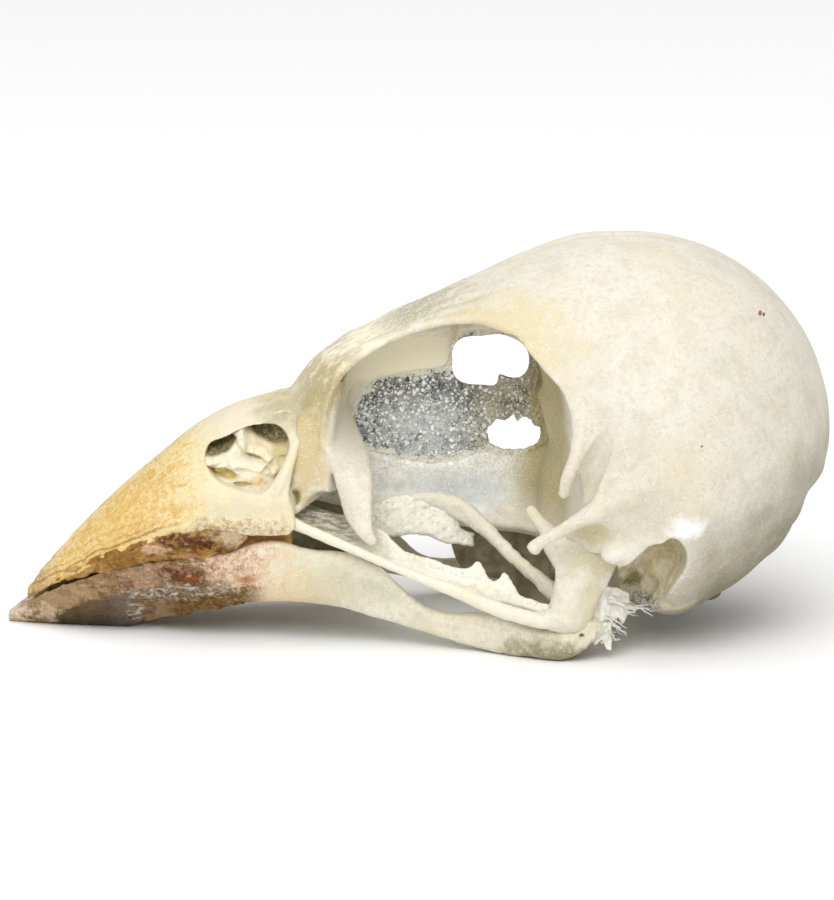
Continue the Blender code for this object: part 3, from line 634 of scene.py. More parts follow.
# ---------------------------------------------------------------- the thin wall between the eyes

def upper_window(turn):
    """Reach of the upper window's edge from its middle, by angle: a rounded box with one bump."""
    c, s = np.cos(turn), np.sin(turn)
    box = 1 / (np.abs(c / 1.40) ** 2.7 + np.abs(s / 0.96) ** 2.7) ** (1 / 2.7)
    return box * (1 - 0.42 * hump(turn, -0.98, 0.28) + 0.03 * np.cos(5 * turn))


def lower_window(turn):
    """Reach of the lower window's edge: an oval torn into teeth along its upper right."""
    c, s = np.cos(turn), np.sin(turn)
    oval = 1 / (np.abs(c / 0.97) ** 2.4 + np.abs(s / 0.60) ** 2.4) ** (1 / 2.4)
    torn = step(-0.1, 0.35, turn) * step(2.7, 1.9, turn)
    teeth = torn * (0.16 * np.sin(8 * turn + 0.6) + 0.08 * np.sin(13 * turn)) + 0.025 * np.sin(11 * turn)
    return oval * (1 + teeth * step(0.0, 0.8, np.abs(turn)) + 0.015 * np.sin(29 * turn))


WINDOWS = (((2.645, 9.75), upper_window), ((3.54, 7.02), lower_window))


def all_four(corners):
    """Whether all four corners of each of a grid's cells are set."""
    return corners[:-1, :-1] & corners[1:, :-1] & corners[1:, 1:] & corners[:-1, 1:]


def septum_grid():
    """A grid over x and z and the cells that the wall keeps: those inside a window are left out, and the
    corners beside them are moved onto its edge along the ray from its middle."""
    cell = 0.05 * COARSE
    x, z = np.meshgrid(np.arange(-2.85, 5.05, cell), np.arange(5.9, 11.05, cell), indexing="ij")
    keep = (z > sill(x) - 0.35) & (z < keel_foot(x) + 0.35)
    inside = np.zeros_like(keep)
    for (cx, cz), reach in WINDOWS:
        inside |= np.hypot(x - cx, z - cz) < reach(np.arctan2(z - cz, x - cx))
    cells = ~all_four(inside) & all_four(keep)
    for (cx, cz), reach in WINDOWS:
        turn = np.arctan2(z - cz, x - cx)
        move = np.hypot(x - cx, z - cz) < reach(turn)
        x = np.where(move, cx + np.cos(turn) * reach(turn), x)
        z = np.where(move, cz + np.sin(turn) * reach(turn), z)
    return x, z, cells


def septum_faces(cells):
    """Faces of both sides of the kept cells, and a rim of quads wherever a cell's neighbour is left out.
    Corners of the far side are numbered after all those of the near side."""
    count = (cells.shape[0] + 1) * (cells.shape[1] + 1)
    index = np.arange(count).reshape(cells.shape[0] + 1, -1)
    quad = np.stack([index[:-1, :-1], index[1:, :-1], index[1:, 1:], index[:-1, 1:]], axis=-1)
    faces = [quad[cells], quad[cells][:, ::-1] + count]
    padded = np.pad(cells, 1)
    for k, (right, up) in enumerate(((0, -1), (1, 0), (0, 1), (-1, 0))):
        beside = padded[1 + right:1 + right + cells.shape[0], 1 + up:1 + up + cells.shape[1]]
        edge = cells & ~beside
        a, b = quad[..., k][edge], quad[..., (k + 1) % 4][edge]
        faces.append(np.stack([b, a, a + count, b + count], axis=-1))
    return np.concatenate(faces)


def septum_border(points):
    """1 along the wall's border, easing inward to 0 by an uneven distance."""
    x, _, z = points.T
    ragged = 0.16 * uneven(points, 0.5, 17) + 0.07 * uneven(points, 0.17, 18)
    front = 1.1 * (x + 2.5 - 0.22 * (z - 7.5) ** 2)
    beside_window = 9.55 - z + 8 * np.maximum(x - 1.3, 0)
    inward = np.minimum(np.minimum(keel_foot(x) - z, z - sill(x)), np.minimum(front, beside_window)) + ragged
    return step(0.4, -0.02, inward)


def septum(finish):
    """A thin wall with two windows: both faces of septum_grid stand 0.09 from the middle and carry grains,
    the tops of a fine unevenness, over broad waves."""
    x, z, cells = septum_grid()
    flat = spread(x, 0 * x, z)
    grains = []
    for seed in (11, 12):
        fine = uneven(flat + (0, 7.3 * seed, 0), 0.11, seed)
        broad = uneven(flat + (0, 3.1 * seed, 0), 0.4, seed + 5)
        grains.append(0.045 * np.clip(fine, -0.2, 1) + 0.03 * broad)
    near, far = spread(x, -0.09 - grains[0], z), spread(x, 0.09 + grains[1], z)
    corners = np.concatenate([near.reshape(-1, 3), far.reshape(-1, 3)])
    faces = septum_faces(cells)
    used = np.unique(faces)
    renumber = np.zeros(len(corners), int)
    renumber[used] = np.arange(len(used))
    made = object_of("septum", [facing_out(corners[used], renumber[faces].tolist())])
    marked(made, "border", septum_border(corners[used]))
    return done(made, finish, ["interorbital_septum"])


# ---------------------------------------------------------------- bill

def culmen(x):
    """Height of the bill's ridge."""
    return through(((-14.35, 1.25), (-13.3, 2.53), (-11.4, 4.5), (-9.6, 6.1), (-7.75, 7.55), (-6.8, 8.05),
                    (-5.9, 8.38), (-5.0, 8.68), (-4.3, 8.95)), x)


def tomium(x):
    """Height of the upper bill's cutting edge."""
    return through(((-14.35, 0.92), (-13.8, 1.2), (-13.4, 1.5), (-12.96, 1.74), (-12.5, 2.0), (-11.6, 2.62),
                    (-11.0, 2.9), (-10.4, 3.18), (-9.1, 3.78), (-8.2, 4.05), (-7.0, 4.16), (-6.0, 4.06),
                    (-4.3, 4.1)), x)


def horn_top(x):
    """Height of the upper border of the horn left on the upper bill."""
    return through(((HORN_FRONT, 1.7), (-12.62, 2.26), (-12.2, 2.46), (-11.6, 2.9), (-11.0, 3.16),
                    (-10.4, 3.4), (-9.97, 3.6), (-9.0, 4.0), (-7.9, 4.25), (-6.85, 4.3), (-6.2, 4.08)), x)


def bill_half_width(x):
    """Half the upper bill's width at its cutting edges."""
    return through(((-14.35, 0.12), (-13.66, 0.75), (-12.5, 1.5), (-11.4, 2.15), (-9.1, 3.1), (-7.0, 3.7),
                    (-5.5, 3.9), (-4.3, 3.95)), x)


def upright(x):
    """How upright the bill's arch stands: HINGE_UPRIGHT at the hinge, in a line to 1 at the tip."""
    return HINGE_UPRIGHT + (1 - HINGE_UPRIGHT) * (x - BILL_HINGE) / (BILL_TIP - BILL_HINGE)


def bill_cone():
    """The upper bill carried along x: an arch, y as a cosine and z as a sine to a power, that narrows
    upward. A hollowed palate closes it below, and its rear end is drawn back to the hinge's curve."""
    x = np.linspace(BILL_TIP, BILL_HINGE, 120)[:, None]
    half, foot, top = bill_half_width(x), tomium(x), culmen(x)
    turn = np.linspace(0, math.pi, 70)[None]
    arch_y = -half * np.cos(turn) * (1 - (1 - upright(x)) * 0.5 * np.sin(turn))
    arch_z = foot + (top - foot) * np.sin(turn) ** ARCH_ROUNDNESS
    wall = np.minimum(0.8, 0.45 * half)
    back = np.linspace(1, -1, 30)[None]
    under_y = (half - wall) * back
    under_z = foot + 0.02 + np.minimum(1.3, 0.4 * (top - foot)) * (1 - back ** 2)
    y = np.concatenate([arch_y, under_y], axis=1)
    z = np.concatenate([arch_z, under_z], axis=1)
    rear = through(((3.9, -4.75), (4.1, -4.6), (4.4, -4.42), (4.9, -4.45), (5.4, -4.62), (6.0, -4.55),
                    (6.9, -4.3), (7.6, -4.12), (8.4, -3.9), (9.0, -3.8)), z)
    share = np.clip((x + 6.6) / (BILL_HINGE + 6.6), 0, 1) ** 2
    return tube(spread(x + (rear - BILL_HINGE) * share, y, z))


def nostril_room(side):
    """The room behind a nostril: the nostril's outline, a rounded triangle, carried across the bill and
    drawn in toward its middle by a size."""
    outline = [(-7.67, 6.78), (-7.52, 7.06), (-7.1, 7.24), (-6.7, 7.42), (-6.19, 7.64), (-5.6, 7.76),
               (-5.08, 7.76), (-4.76, 7.54), (-4.62, 7.2), (-4.7, 6.76), (-4.98, 6.26), (-5.24, 5.86),
               (-5.6, 5.53), (-6.12, 5.56), (-6.6, 5.66), (-7.2, 5.9), (-7.52, 6.22), (-7.66, 6.5)]
    x, z = smooth_ring(outline, 90).T[:, None]
    y = np.array((0.35, 1.0, 2.2, 3.2, 4.6))[:, None]
    size = through(((0.35, 0.9), (2.2, 1.0), (4.6, 1.0)), y)
    return tube(spread(NOSTRIL_X + (x - NOSTRIL_X) * size, side * y, NOSTRIL_Z + (z - NOSTRIL_Z) * size))


def bill_side(x, z):
    """How far the bill's side stands from the middle at x and height z: bill_cone's arch turned about."""
    half, foot, top = bill_half_width(x), tomium(x), culmen(x)
    sine = np.clip((z - foot) / (top - foot), 0, 1) ** (1 / ARCH_ROUNDNESS)
    return half * np.sqrt(1 - sine ** 2) * (1 - (1 - upright(x)) * 0.5 * sine)


def cutting_ridge(side):
    """The pitted ridge along the rear half of the cutting edge, ending in a knob."""
    path = [(x, side * (bill_side(x, 4.45) - 0.12), 4.47 + 0.03 * (x + 7.8))
            for x in (-8.2, -7.4, -6.4, -5.4, -4.72)]
    return rod(path, [0.12, 0.24, 0.28, 0.3, 0.36], [0.1, 0.24, 0.28, 0.32, 0.4], 24, 60)


def strut(side):
    """The raised strut behind the nostril, slanting down and forward over the bill's side."""
    line = ((-4.02, 8.1), (-4.3, 7.35), (-4.55, 6.7), (-4.85, 6.0), (-5.15, 5.4))
    path = [(x, side * (bill_side(x, z) - 0.1), z) for x, z in line]
    return rod(path, [0.12, 0.16, 0.19, 0.24, 0.2], [0.1, 0.14, 0.16, 0.2, 0.14], 20, 50)


def to_line(x, z, path):
    """Distance from (x, z) to a line through the points of path."""
    near = np.full(np.broadcast(x, z).shape, 9.0)
    for (ax, az), (bx, bz) in zip(path[:-1], path[1:]):
        along = ((x - ax) * (bx - ax) + (z - az) * (bz - az)) / ((bx - ax) ** 2 + (bz - az) ** 2)
        along = np.clip(along, 0, 1)
        near = np.minimum(near, np.hypot(x - ax - along * (bx - ax), z - az - along * (bz - az)))
    return near


def bill_relief(points):
    """The bill's bone: shallow veins toward the tip, and a groove, a ridge and fine lines at heights above
    the cutting edge, each a bell curve."""
    x, _, z = points.T
    above = z - tomium(x)
    veins = -0.03 * step(0.15, 0.5, uneven(points, 0.32, 21)) * step(-5.5, -9.0, x)
    groove = -0.08 * hump(above, 0.42 + 0.05 * np.sin(3 * x), 0.07) * step(-6.5, -8.5, x)
    ridge = 0.06 * hump(above, 0.30, 0.16) * step(-10.0, -8.6, x)
    lines = sum(-0.03 * hump(above, place + 0.04 * np.sin(2 * x), 0.05) for place in (0.62, 0.88, 1.2))
    lines = lines * step(-9.2, -10.6, x)
    return veins + groove + ridge + lines + 0.012 * uneven(points, 0.9, 22) + 0.008 * uneven(points, 0.2, 23)


def upper_bill(finish):
    """The upper bill's bone with its ridges and struts, marked with each corner's height above the cutting
    edge."""
    ridges = [shape(side) for side in (LEFT, RIGHT) for shape in (cutting_ridge, strut)]
    rooms = [nostril_room(side) for side in (LEFT, RIGHT)]
    made = fused("bill_upper", ridges, bill_cone(), rooms, voxel=0.06, rounds=4)
    worked(made, bill_relief)
    x, _, z = corners_of(made).T
    marked(made, "above", z - tomium(x))
    return done(made, finish, ["upper_bill"])


SCROLL_FOLDS = (                     # path in x and z, height, width
    (((-7.9, 6.45), (-6.9, 6.65), (-6.35, 7.05), (-6.5, 7.9)), 0.4, 0.27),
    (((-6.3, 7.1), (-5.6, 6.8), (-5.1, 6.3)), 0.34, 0.2),
    (((-7.2, 6.1), (-6.5, 6.45), (-5.8, 6.3), (-5.2, 6.2)), 0.28, 0.16))
SCROLL_POCKETS = (                   # x, z, half length, half height, slant, depth
    (-7.08, 6.98, 0.6, 0.26, 0.42, 0.42), (-5.35, 7.42, 0.66, 0.3, -0.28, 0.45),
    (-7.0, 6.02, 0.5, 0.19, -0.1, 0.35), (-6.3, 5.75, 0.3, 0.07, 0.0, 0.2),
    (-5.9, 6.62, 0.3, 0.07, -0.3, 0.15), (-5.35, 6.35, 0.35, 0.1, 0.9, 0.15))


def scroll_depths(x, z):
    """How far the scrolled bone lies behind the bill's side, and how deep its pockets are sunk in it. A
    fold rises as e to the minus (distance / width)^4 of its path; a pocket is a step at an ellipse's
    edge."""
    flat = spread(x, 0 * x, z)
    wave_x = x + 0.10 * uneven(flat, 0.5, 33)
    wave_z = z + 0.10 * uneven(flat, 0.5, 34)
    back = 0.62 + 0.1 * uneven(flat, 0.3, 35) + 0.05 * uneven(flat, 0.13, 36)
    for path, tall, wide in SCROLL_FOLDS:
        back = back - tall * np.exp(-(to_line(wave_x, wave_z, path) / wide) ** 4)
    back = back - 0.3 * hump(np.hypot(wave_x + 5.95, wave_z - 5.95), 0, 0.34)
    sunk = 0 * back
    for cx, cz, rx, rz, slant, deep in SCROLL_POCKETS:
        px, pz = wave_x - cx, wave_z - cz
        far = np.hypot((px * math.cos(slant) + pz * math.sin(slant)) / rx,
                       (pz * math.cos(slant) - px * math.sin(slant)) / rz)
        sunk = sunk + deep * step(1.25, 0.7, far)
    return back, sunk


def nasal_scroll(side, word, finish):
    """The scrolled bone in a nostril: a relief over x and z with a flat back, set back from the bill's side
    by scroll_depths."""
    x = np.linspace(-7.95, -4.5, int(120 / COARSE))[:, None]
    up = np.linspace(0, 1, int(96 / COARSE))[None]
    z = 5.35 + (np.minimum(culmen(x) - 0.5, 8.2) - 5.35) * up
    x = x + 0 * z
    back, sunk = scroll_depths(x, z)
    y = np.maximum(bill_side(x, np.minimum(z, 7.7)) - back - sunk, 0.45)
    near = spread(x, side * y, z)
    far = spread(x, side * (0 * y + 0.25), z)
    made = object_of(f"nasal_scroll_{word}", [tube(np.concatenate([near, far[:, ::-1]], axis=1))])
    # each ring of the tube holds the near side's corners, then the far side's
    dark = np.zeros(len(made.data.vertices))
    dark[:2 * sunk.size].reshape(len(sunk), -1)[:, :sunk.shape[1]] = np.clip(2 * sunk, 0, 1)
    # the pockets' depths, which the finish paints as shade
    marked(made, "sunk", dark)
    return done(made, finish, [f"nasal_concha_{word}"])


def horn_strip(side, word, finish):
    """The ragged strip of horn left along the cutting edge: two plates, one over the other, each ruled
    between horn_top and an unevenly torn lower edge and set out from the bill's side."""
    bodies = []
    for layer, (drop, shift, thick) in enumerate(((1.0, 0.0, 0.4), (0.62, 0.14, 0.3))):
        x = np.linspace(HORN_FRONT + 1.5 * layer, HORN_REAR - 0.5 * layer, 200)[:, None]
        down = np.linspace(0, 1, 26)[None]
        high = horn_top(x) + 0.04 - 0.2 * layer
        low = through(((HORN_FRONT, 1.5), (-12.9, 1.76), (-12.5, 1.84), (-12.1, 1.92), (-11.7, 2.12),
                       (-10.8, 2.38), (-10.0, 2.64), (-9.4, 2.8), (-8.9, 2.8), (-8.3, 2.93), (-7.8, 2.98),
                       (-7.3, 3.08), (-6.85, 3.32), (-6.2, 3.76)), x)
        torn = uneven(spread(x, 0 * x, 0 * x + 3 * layer), 0.35, 41 + layer)
        low = high + (low - high) * drop * (1 + 0.1 * torn)
        z = high + (low - high) * down
        y = bill_half_width(x) - 0.2 - 0.1 * down + shift
        middle = spread(x, side * y, z)
        rough = uneven(middle, 0.3, 43 + layer)
        middle[..., 1] += side * (0.07 * rough + 0.05 * uneven(middle, 0.12, 45)) * (0.15 + 0.85 * down)
        bodies.append(plate(middle, thick * (1 + 0.25 * rough * down), (0.02, 0.15)))
    made = fused(f"horn_strip_{word}", bodies, voxel=0.05, rounds=3)
    worked(made, lambda points: 0.03 * uneven(points, 0.18, 47)
           - 0.03 * step(0.2, 0.5, uneven(points, 0.3, 48)))
    return done(made, finish, [f"upper_horn_{word}"])


# ---------------------------------------------------------------- lower jaw

def jaw_foot(x):
    """Height of the lower jaw's under edge: flat under the bill, arched, then down to the jaw's angle."""
    foot = through(((JAW_TIP, 0), (-10.6, 0), (-9.9, .3), (-8.8, .66), (-7.77, .9), (-6.95, 1.15),
                    (-5.95, 1.35), (-4.93, 1.46), (-3.1, 1.4), (-1.3, .95), (.5, .5), (2.3, .12), (3.3, 0),
                    (5.0, 0), (5.6, .13), (6.0, .38), (6.5, .85)), x)
    return np.maximum(foot, 0)


def jaw_top(x):
    """Height of the lower jaw's upper edge."""
    return through(((JAW_TIP, 0.3), (-14.77, 0.5), (-14.3, 0.84), (-13.87, 1.1), (-13.25, 1.5),
                    (-12.75, 1.78), (-12.05, 2.04), (-11.6, 2.22), (-10.1, 2.68), (-9.0, 2.92), (-7.5, 3.2),
                    (-6.25, 3.56), (-5.4, 3.78), (-4.8, 3.76), (-4.1, 3.55), (-2.0, 3.22), (-1.25, 2.84),
                    (-0.6, 2.24), (0.0, 1.68), (0.45, 1.44), (0.9, 1.34), (2.2, 1.42), (3.2, 1.4),
                    (3.8, 1.2), (5.2, 1.17), (6.0, 1.3), (6.5, 1.35)), x)


def jaw_line(x):
    """How far the middle of each jaw branch stands from the skull's middle."""
    return through(((-9.7, 1.95), (-8.0, 2.55), (-6.0, 3.1), (-4.0, 3.45), (-2.0, 3.65), (0.0, 4.0),
                    (2.0, 4.6), (3.4, 5.2), (5.0, 5.75), (6.4, 5.8), (7.6, 5.5)), x)


def jaw_blade(start, end, side, grow=0.0):
    """A jaw branch carried along x: its outline across is |y|^3 + |z|^3 = 1 between foot and top, it leans
    out toward the bill, and it thins toward its front end."""
    x = np.linspace(start, end, 160)[:, None]
    turn = np.linspace(0, 2 * math.pi, 44, endpoint=False)[None]
    thick = through(((-9.9, 1.3), (-7, 1.0), (-4, .75), (0, .65), (2.5, .8), (4.5, 1.3), (6, 1.35),
                     (7.6, .9)), x)
    c, s = np.cos(turn), np.sin(turn)
    box = 1 / (np.abs(c) ** 3 + np.abs(s) ** 3) ** (1 / 3)
    up = 0.5 + 0.5 * s * box
    foot, top = jaw_foot(x) - grow, jaw_top(x) + grow
    lean = through(((-9.7, 1.5), (-8, 1.0), (-6, .6), (-4, .25), (0, 0)), x)
    y = jaw_line(x) + (up - 0.5) * lean + c * box * (thick / 2 + grow)
    y = y - c * box * 0.25 * thick * step(start + 1.2, start, x)
    return tube(spread(x, side * y, np.maximum(foot + (top - foot) * up, 0.0)))


def chin():
    """The horn-clad chin carried along x: a ring of straight runs, flat below, with a trough above. Across
    and up are its corners' shares of the half width and the height, and low their shares of the trough's
    depth."""
    x = np.linspace(JAW_TIP + 0.03, CHIN_REAR, 110)[:, None]
    half = through(((JAW_TIP, .3), (-14.2, .85), (-13.1, 1.5), (-12.0, 2.02), (-10.7, 2.45),
                    (CHIN_REAR, 2.82)), x)
    top, foot = jaw_top(x), jaw_foot(x)
    dip = 0.42 * (top - foot) * np.clip((x - JAW_TIP) / 2, 0, 1)
    across = np.array((-0.42, 0, 0.42, 0.78, 1.0, 0.98, 0.9, 0.7, 0.3, -0.3, -0.7, -0.9, -0.98, -1.0,
                       -0.78))[None]
    up = np.array((0, 0, 0, 0.27, 0.56, 1, 1, 1, 1, 1, 1, 1, 1, 0.56, 0.27))[None]
    low = np.array((0, 0, 0, 0, 0, 0, 0, 0.3, 1, 1, 0.3, 0, 0, 0, 0))[None]
    corners = np.stack([half * across, foot + (top - foot) * up - dip * low], axis=-1)
    at = np.linspace(0, across.size, 80, endpoint=False)
    run = at.astype(int)
    share = (at - run)[:, None]
    ring = corners[:, run] * (1 - share) + np.roll(corners, -1, axis=1)[:, run] * share
    return tube(spread(x, ring[..., 0], ring[..., 1]))


def lower_bill(finish):
    """The horn sheath of the lower bill: chin and both sides grown together, rough and crusted, flaked near
    the cutting edge's corner and thinning out at its torn rear end."""
    sides = [jaw_blade(-9.9, -5.3, side, 0.05) for side, _ in SIDES]
    made = fused("bill_lower_horn", [chin()] + sides, voxel=0.06, rounds=4)

    def relief(points):
        x, _, z = points.T
        side_on = step(0.12, 0.5, z)
        rough = 0.07 * uneven(points, 0.4, 51) + 0.05 * uneven(points, 0.17, 52)
        crust = -0.1 * step(0.1, 0.5, uneven(points, 0.7, 53)) * step(-12, -10, x)
        flaked = -0.05 * step(0.0, 0.3, uneven(points, 0.3, 55)) * hump(x, -7.3, 1.0)
        torn = -0.14 * step(-7.3, -5.7, x + 0.3 * uneven(points, 0.5, 54))
        return (rough + crust * step(-7.2, -8.2, x) + flaked - 0.01) * side_on * step(-14.9, -13.5, x) + torn
    worked(made, relief)
    return done(made, finish, ["lower_horn_tip", "lower_horn_left", "lower_horn_right"])


def jaw_branch(side, word, finish):
    """One branch of the jaw from under the horn back to the joint, with the spur that points inward. Its
    relief has a long hollow, a seam, a groove, the small hole at the joint and a broken rear end."""
    spur = rod(on_side(side, (5.6, 5.8, 0.8), (5.3, 4.7, 0.95), (5.1, 3.7, 1.35)),
               [0.8, 0.5, 0.26], [0.4, 0.32, 0.24], 24, 30, (False, True))
    heel = ball((6.25, 5.85 * side, 1.15), (0.45, 0.6, 0.36))
    made = fused(f"jaw_branch_{word}", [jaw_blade(-6.9, JAW_REAR, side), spur, heel], voxel=0.06, rounds=5)

    def relief(points):
        x, y, z = points.T
        outer = step(0.0, 0.1, (y * side - jaw_line(x)))
        middle = (jaw_foot(x) + jaw_top(x)) / 2
        hollow = -0.12 * hump(x, -1.8, 2.2) * hump(z, middle, 0.5) * outer
        seam = -0.04 * hump(x + 0.12 * (z - 0.6), 3.05, 0.05) * outer
        hole = -0.16 * hump(np.hypot(x - 5.87, z - 1.0), 0, 0.1) * outer
        rough = (0.08 * uneven(points, 0.3, 63) + 0.06 * uneven(points, 0.15, 64)) * step(5.2, 6.2, x)
        groove = -0.05 * hump(z, middle + 0.3, 0.1) * step(0.0, 1.0, x) * step(5.0, 4.0, x) * outer
        grain = 0.03 * uneven(points, 0.8, 61) + 0.015 * uneven(points, 0.25, 62)
        return hollow + seam + hole + rough + groove + grain
    worked(made, relief)
    return done(made, finish, [f"dentary_{word}", f"surangular_{word}", f"articular_{word}"])


# ---------------------------------------------------------------- cheek, palate and joint

def jugal(side, word, finish):
    """The thin bar from the bill back to the jaw's joint."""
    path = on_side(side, (-5.1, 3.1, 4.66), (-3.8, 3.86, 4.22), (-1.9, 4.3, 3.49), (0.1, 4.75, 2.72),
                         (1.4, 5.1, 2.3), (2.9, 5.7, 1.8), (4.2, 6.3, 1.56), (4.9, 6.45, 1.55))
    body = rod(path, [.22, .18, .16, .18, .22, .24, .25, .25], [.24, .2, .17, .19, .25, .28, .28, .28],
               24, 120)
    made = fused(f"jugal_bar_{word}_skin", [body], voxel=0.05, rounds=2)
    worked(made, lambda points: 0.02 * uneven(points, 0.5, 71) + 0.01 * uneven(points, 0.15, 72))
    return done(made, finish, [f"jugal_bar_{word}"])


def palate_wing(side):
    """The upright pitted inner wing, ruled between its lower and upper edges and leaning in by 0.25."""
    x = np.linspace(-4.1, 2.1, 120)[:, None]
    up = np.linspace(0, 1, 30)[None]
    low = through(((-4.1, 4.05), (-2.2, 3.75), (-1.2, 3.62), (.4, 3.6), (1.0, 3.35), (1.35, 3.3),
                   (2.1, 3.2)), x)
    high = through(((-4.1, 4.6), (-2.2, 4.5), (-1.2, 5.0), (.2, 5.05), (1.2, 4.7), (1.5, 3.98), (2.1, 3.6)),
                   x)
    stand = through(((-4.1, 2.3), (-1.2, 2.1), (2.1, 1.8)), x)
    middle = spread(x, side * (stand - 0.25 * up), low + (high - low) * up)
    middle[..., 1] += 0.05 * uneven(middle, 0.25, 81)
    return plate(middle, 0.26, (0.03, 0.1))


def palate_blade(side):
    """The outer blade above the jugal bar, ruled like the wing, with two hooks on its upper edge."""
    x = np.linspace(-3.0, 5.0, 150)[:, None]
    up = np.linspace(0, 1, 30)[None]
    low = through(((-3.0, 3.3), (-1.0, 2.75), (1.0, 2.28), (3.4, 1.82), (5.0, 1.5)), x)
    high = through(((-3.0, 4.15), (-2.0, 4.15), (-1.2, 4.08), (-.7, 3.6), (.6, 3.27), (1.5, 3.04),
                    (1.95, 3.12), (2.2, 3.34), (2.36, 3.17), (2.5, 2.82), (2.95, 2.72), (3.15, 2.97),
                    (3.35, 2.72), (3.6, 2.27), (4.2, 2.02), (5.0, 1.85)), x)
    stand = through(((-3.0, 2.3), (-1.4, 3.2), (.5, 4.4), (3.4, 5.25), (5.0, 5.9)), x)
    return plate(spread(x, side * (stand - 0.25 * up), low + (high - low) * up), 0.26, (0.03, 0.12))


def palate_shelf(side):
    """The shelf in front, ruled from its inner to its outer edge, with fine ribs as a sine across it."""
    x = np.linspace(-4.7, -1.2, 100)[:, None]
    out = np.linspace(0, 1, 30)[None]
    inner = through(((-4.7, 4.75), (-4.1, 4.6), (-2.9, 4.22), (-1.2, 3.85)), x)
    outward = through(((-4.7, 4.25), (-3.9, 4.05), (-2.9, 3.7), (-1.2, 3.15)), x) - inner
    stand = through(((-4.7, 3.2), (-2.9, 3.6), (-1.2, 4.0)), x)
    ribs = 0.05 * np.sin(26 * out + 1.5 * np.sin(1.3 * x))
    return plate(spread(x, side * (1.2 + (stand - 1.2) * out), inner + outward * out + ribs), 0.2,
                 (0.03, 0.08))


def palatine(side, word, finish):
    """The palate's wing, blade and shelf grown together."""
    plates = [palate_wing(side), palate_blade(side), palate_shelf(side)]
    made = fused(f"palatine_{word}_skin", plates, voxel=0.05, rounds=2)
    worked(made, lambda points: 0.03 * uneven(points, 0.14, 83))
    return done(made, finish, [f"palatine_{word}"])


def pterygoid(side, word, finish):
    """The rod from the palate back and out to the jaw's joint, thickest behind its thin front end."""
    path = on_side(side, (-1.0, 1.7, 4.95), (0.4, 1.72, 4.95), (1.4, 1.75, 4.65), (2.4, 2.3, 4.05),
                         (3.4, 3.15, 3.2), (4.6, 4.2, 2.35), (5.3, 5.0, 1.95))
    body = rod(path, [.12, .2, .3, .26, .22, .26, .4], [.14, .26, .42, .3, .24, .3, .4], 24, 90)
    made = fused(f"pterygoid_{word}_skin", [body], voxel=0.05, rounds=2)
    worked(made, lambda points: 0.035 * uneven(points, 0.3, 91) + 0.02 * uneven(points, 0.13, 92))
    return done(made, finish, [f"pterygoid_{word}"])


def quadrate_body(side):
    """The jaw joint's block carried upward: an ellipse across z, broad above and waisted over its
    condyles."""
    z = np.linspace(1.2, 4.6, 60)[:, None]
    middle = through(((1.2, 5.3), (2.0, 5.6), (2.5, 5.78), (3.3, 6.0), (4.1, 6.0), (4.6, 6.15)), z)
    long = through(((1.2, 0.9), (2.0, 0.87), (2.5, 0.95), (3.3, 1.1), (4.1, 1.4), (4.6, 1.4)), z)
    thick = through(((1.2, 0.7), (2.0, 0.55), (2.5, 0.45), (3.3, 0.42), (4.1, 0.4), (4.6, 0.3)), z)
    stand = through(((1.2, 5.85), (2.5, 5.85), (3.3, 5.7), (4.6, 5.2)), z)
    turn = np.linspace(0, 2 * math.pi, 48, endpoint=False)[None]
    ridge = 0.22 * hump(turn, 1.5 * math.pi, 0.45) * step(1.9, 3.0, z)
    return tube(spread(middle + long * np.cos(turn), side * (stand - (thick + ridge) * np.sin(turn)), z))


def quadrate(side, word, finish):
    """The jaw joint's block with its foot on the jaw and the wing that points inward to the eye, two
    hollows in its outer face and a raised front edge."""
    wing = rod(on_side(side, (5.5, 5.6, 3.6), (4.95, 5.2, 4.1), (4.5, 4.6, 4.6), (4.0, 3.9, 5.15)),
               [.5, .42, .26, .18], [.8, .5, .26, .2], 28, 40, (False, True))
    foot = rod(on_side(side, (3.9, 6.18, 1.58), (4.6, 6.28, 1.56), (5.3, 6.2, 1.5), (6.1, 5.9, 1.45)),
               [.24, .36, .5, .5], [.27, .36, .46, .4])
    made = fused(f"quadrate_{word}_skin", [quadrate_body(side), wing, foot], voxel=0.06, rounds=5)

    def relief(points):
        x, y, z = points.T
        outer = step(5.3, 5.8, np.abs(y))
        hollow = -0.13 * hump(x, 6.3, 0.5) * hump(z, 3.55, 0.5)
        hollow = hollow - 0.12 * hump(x, 5.95, 0.3) * hump(z, 2.4, 0.6)
        edge = 0.06 * hump(x - 0.25 * (z - 2.5), 5.3, 0.2) * step(1.9, 2.4, z)
        return (hollow + edge) * outer + 0.05 * uneven(points, 0.6, 95) + 0.02 * uneven(points, 0.2, 96)
    return done(worked(made, relief), finish, [f"quadrate_{word}"])


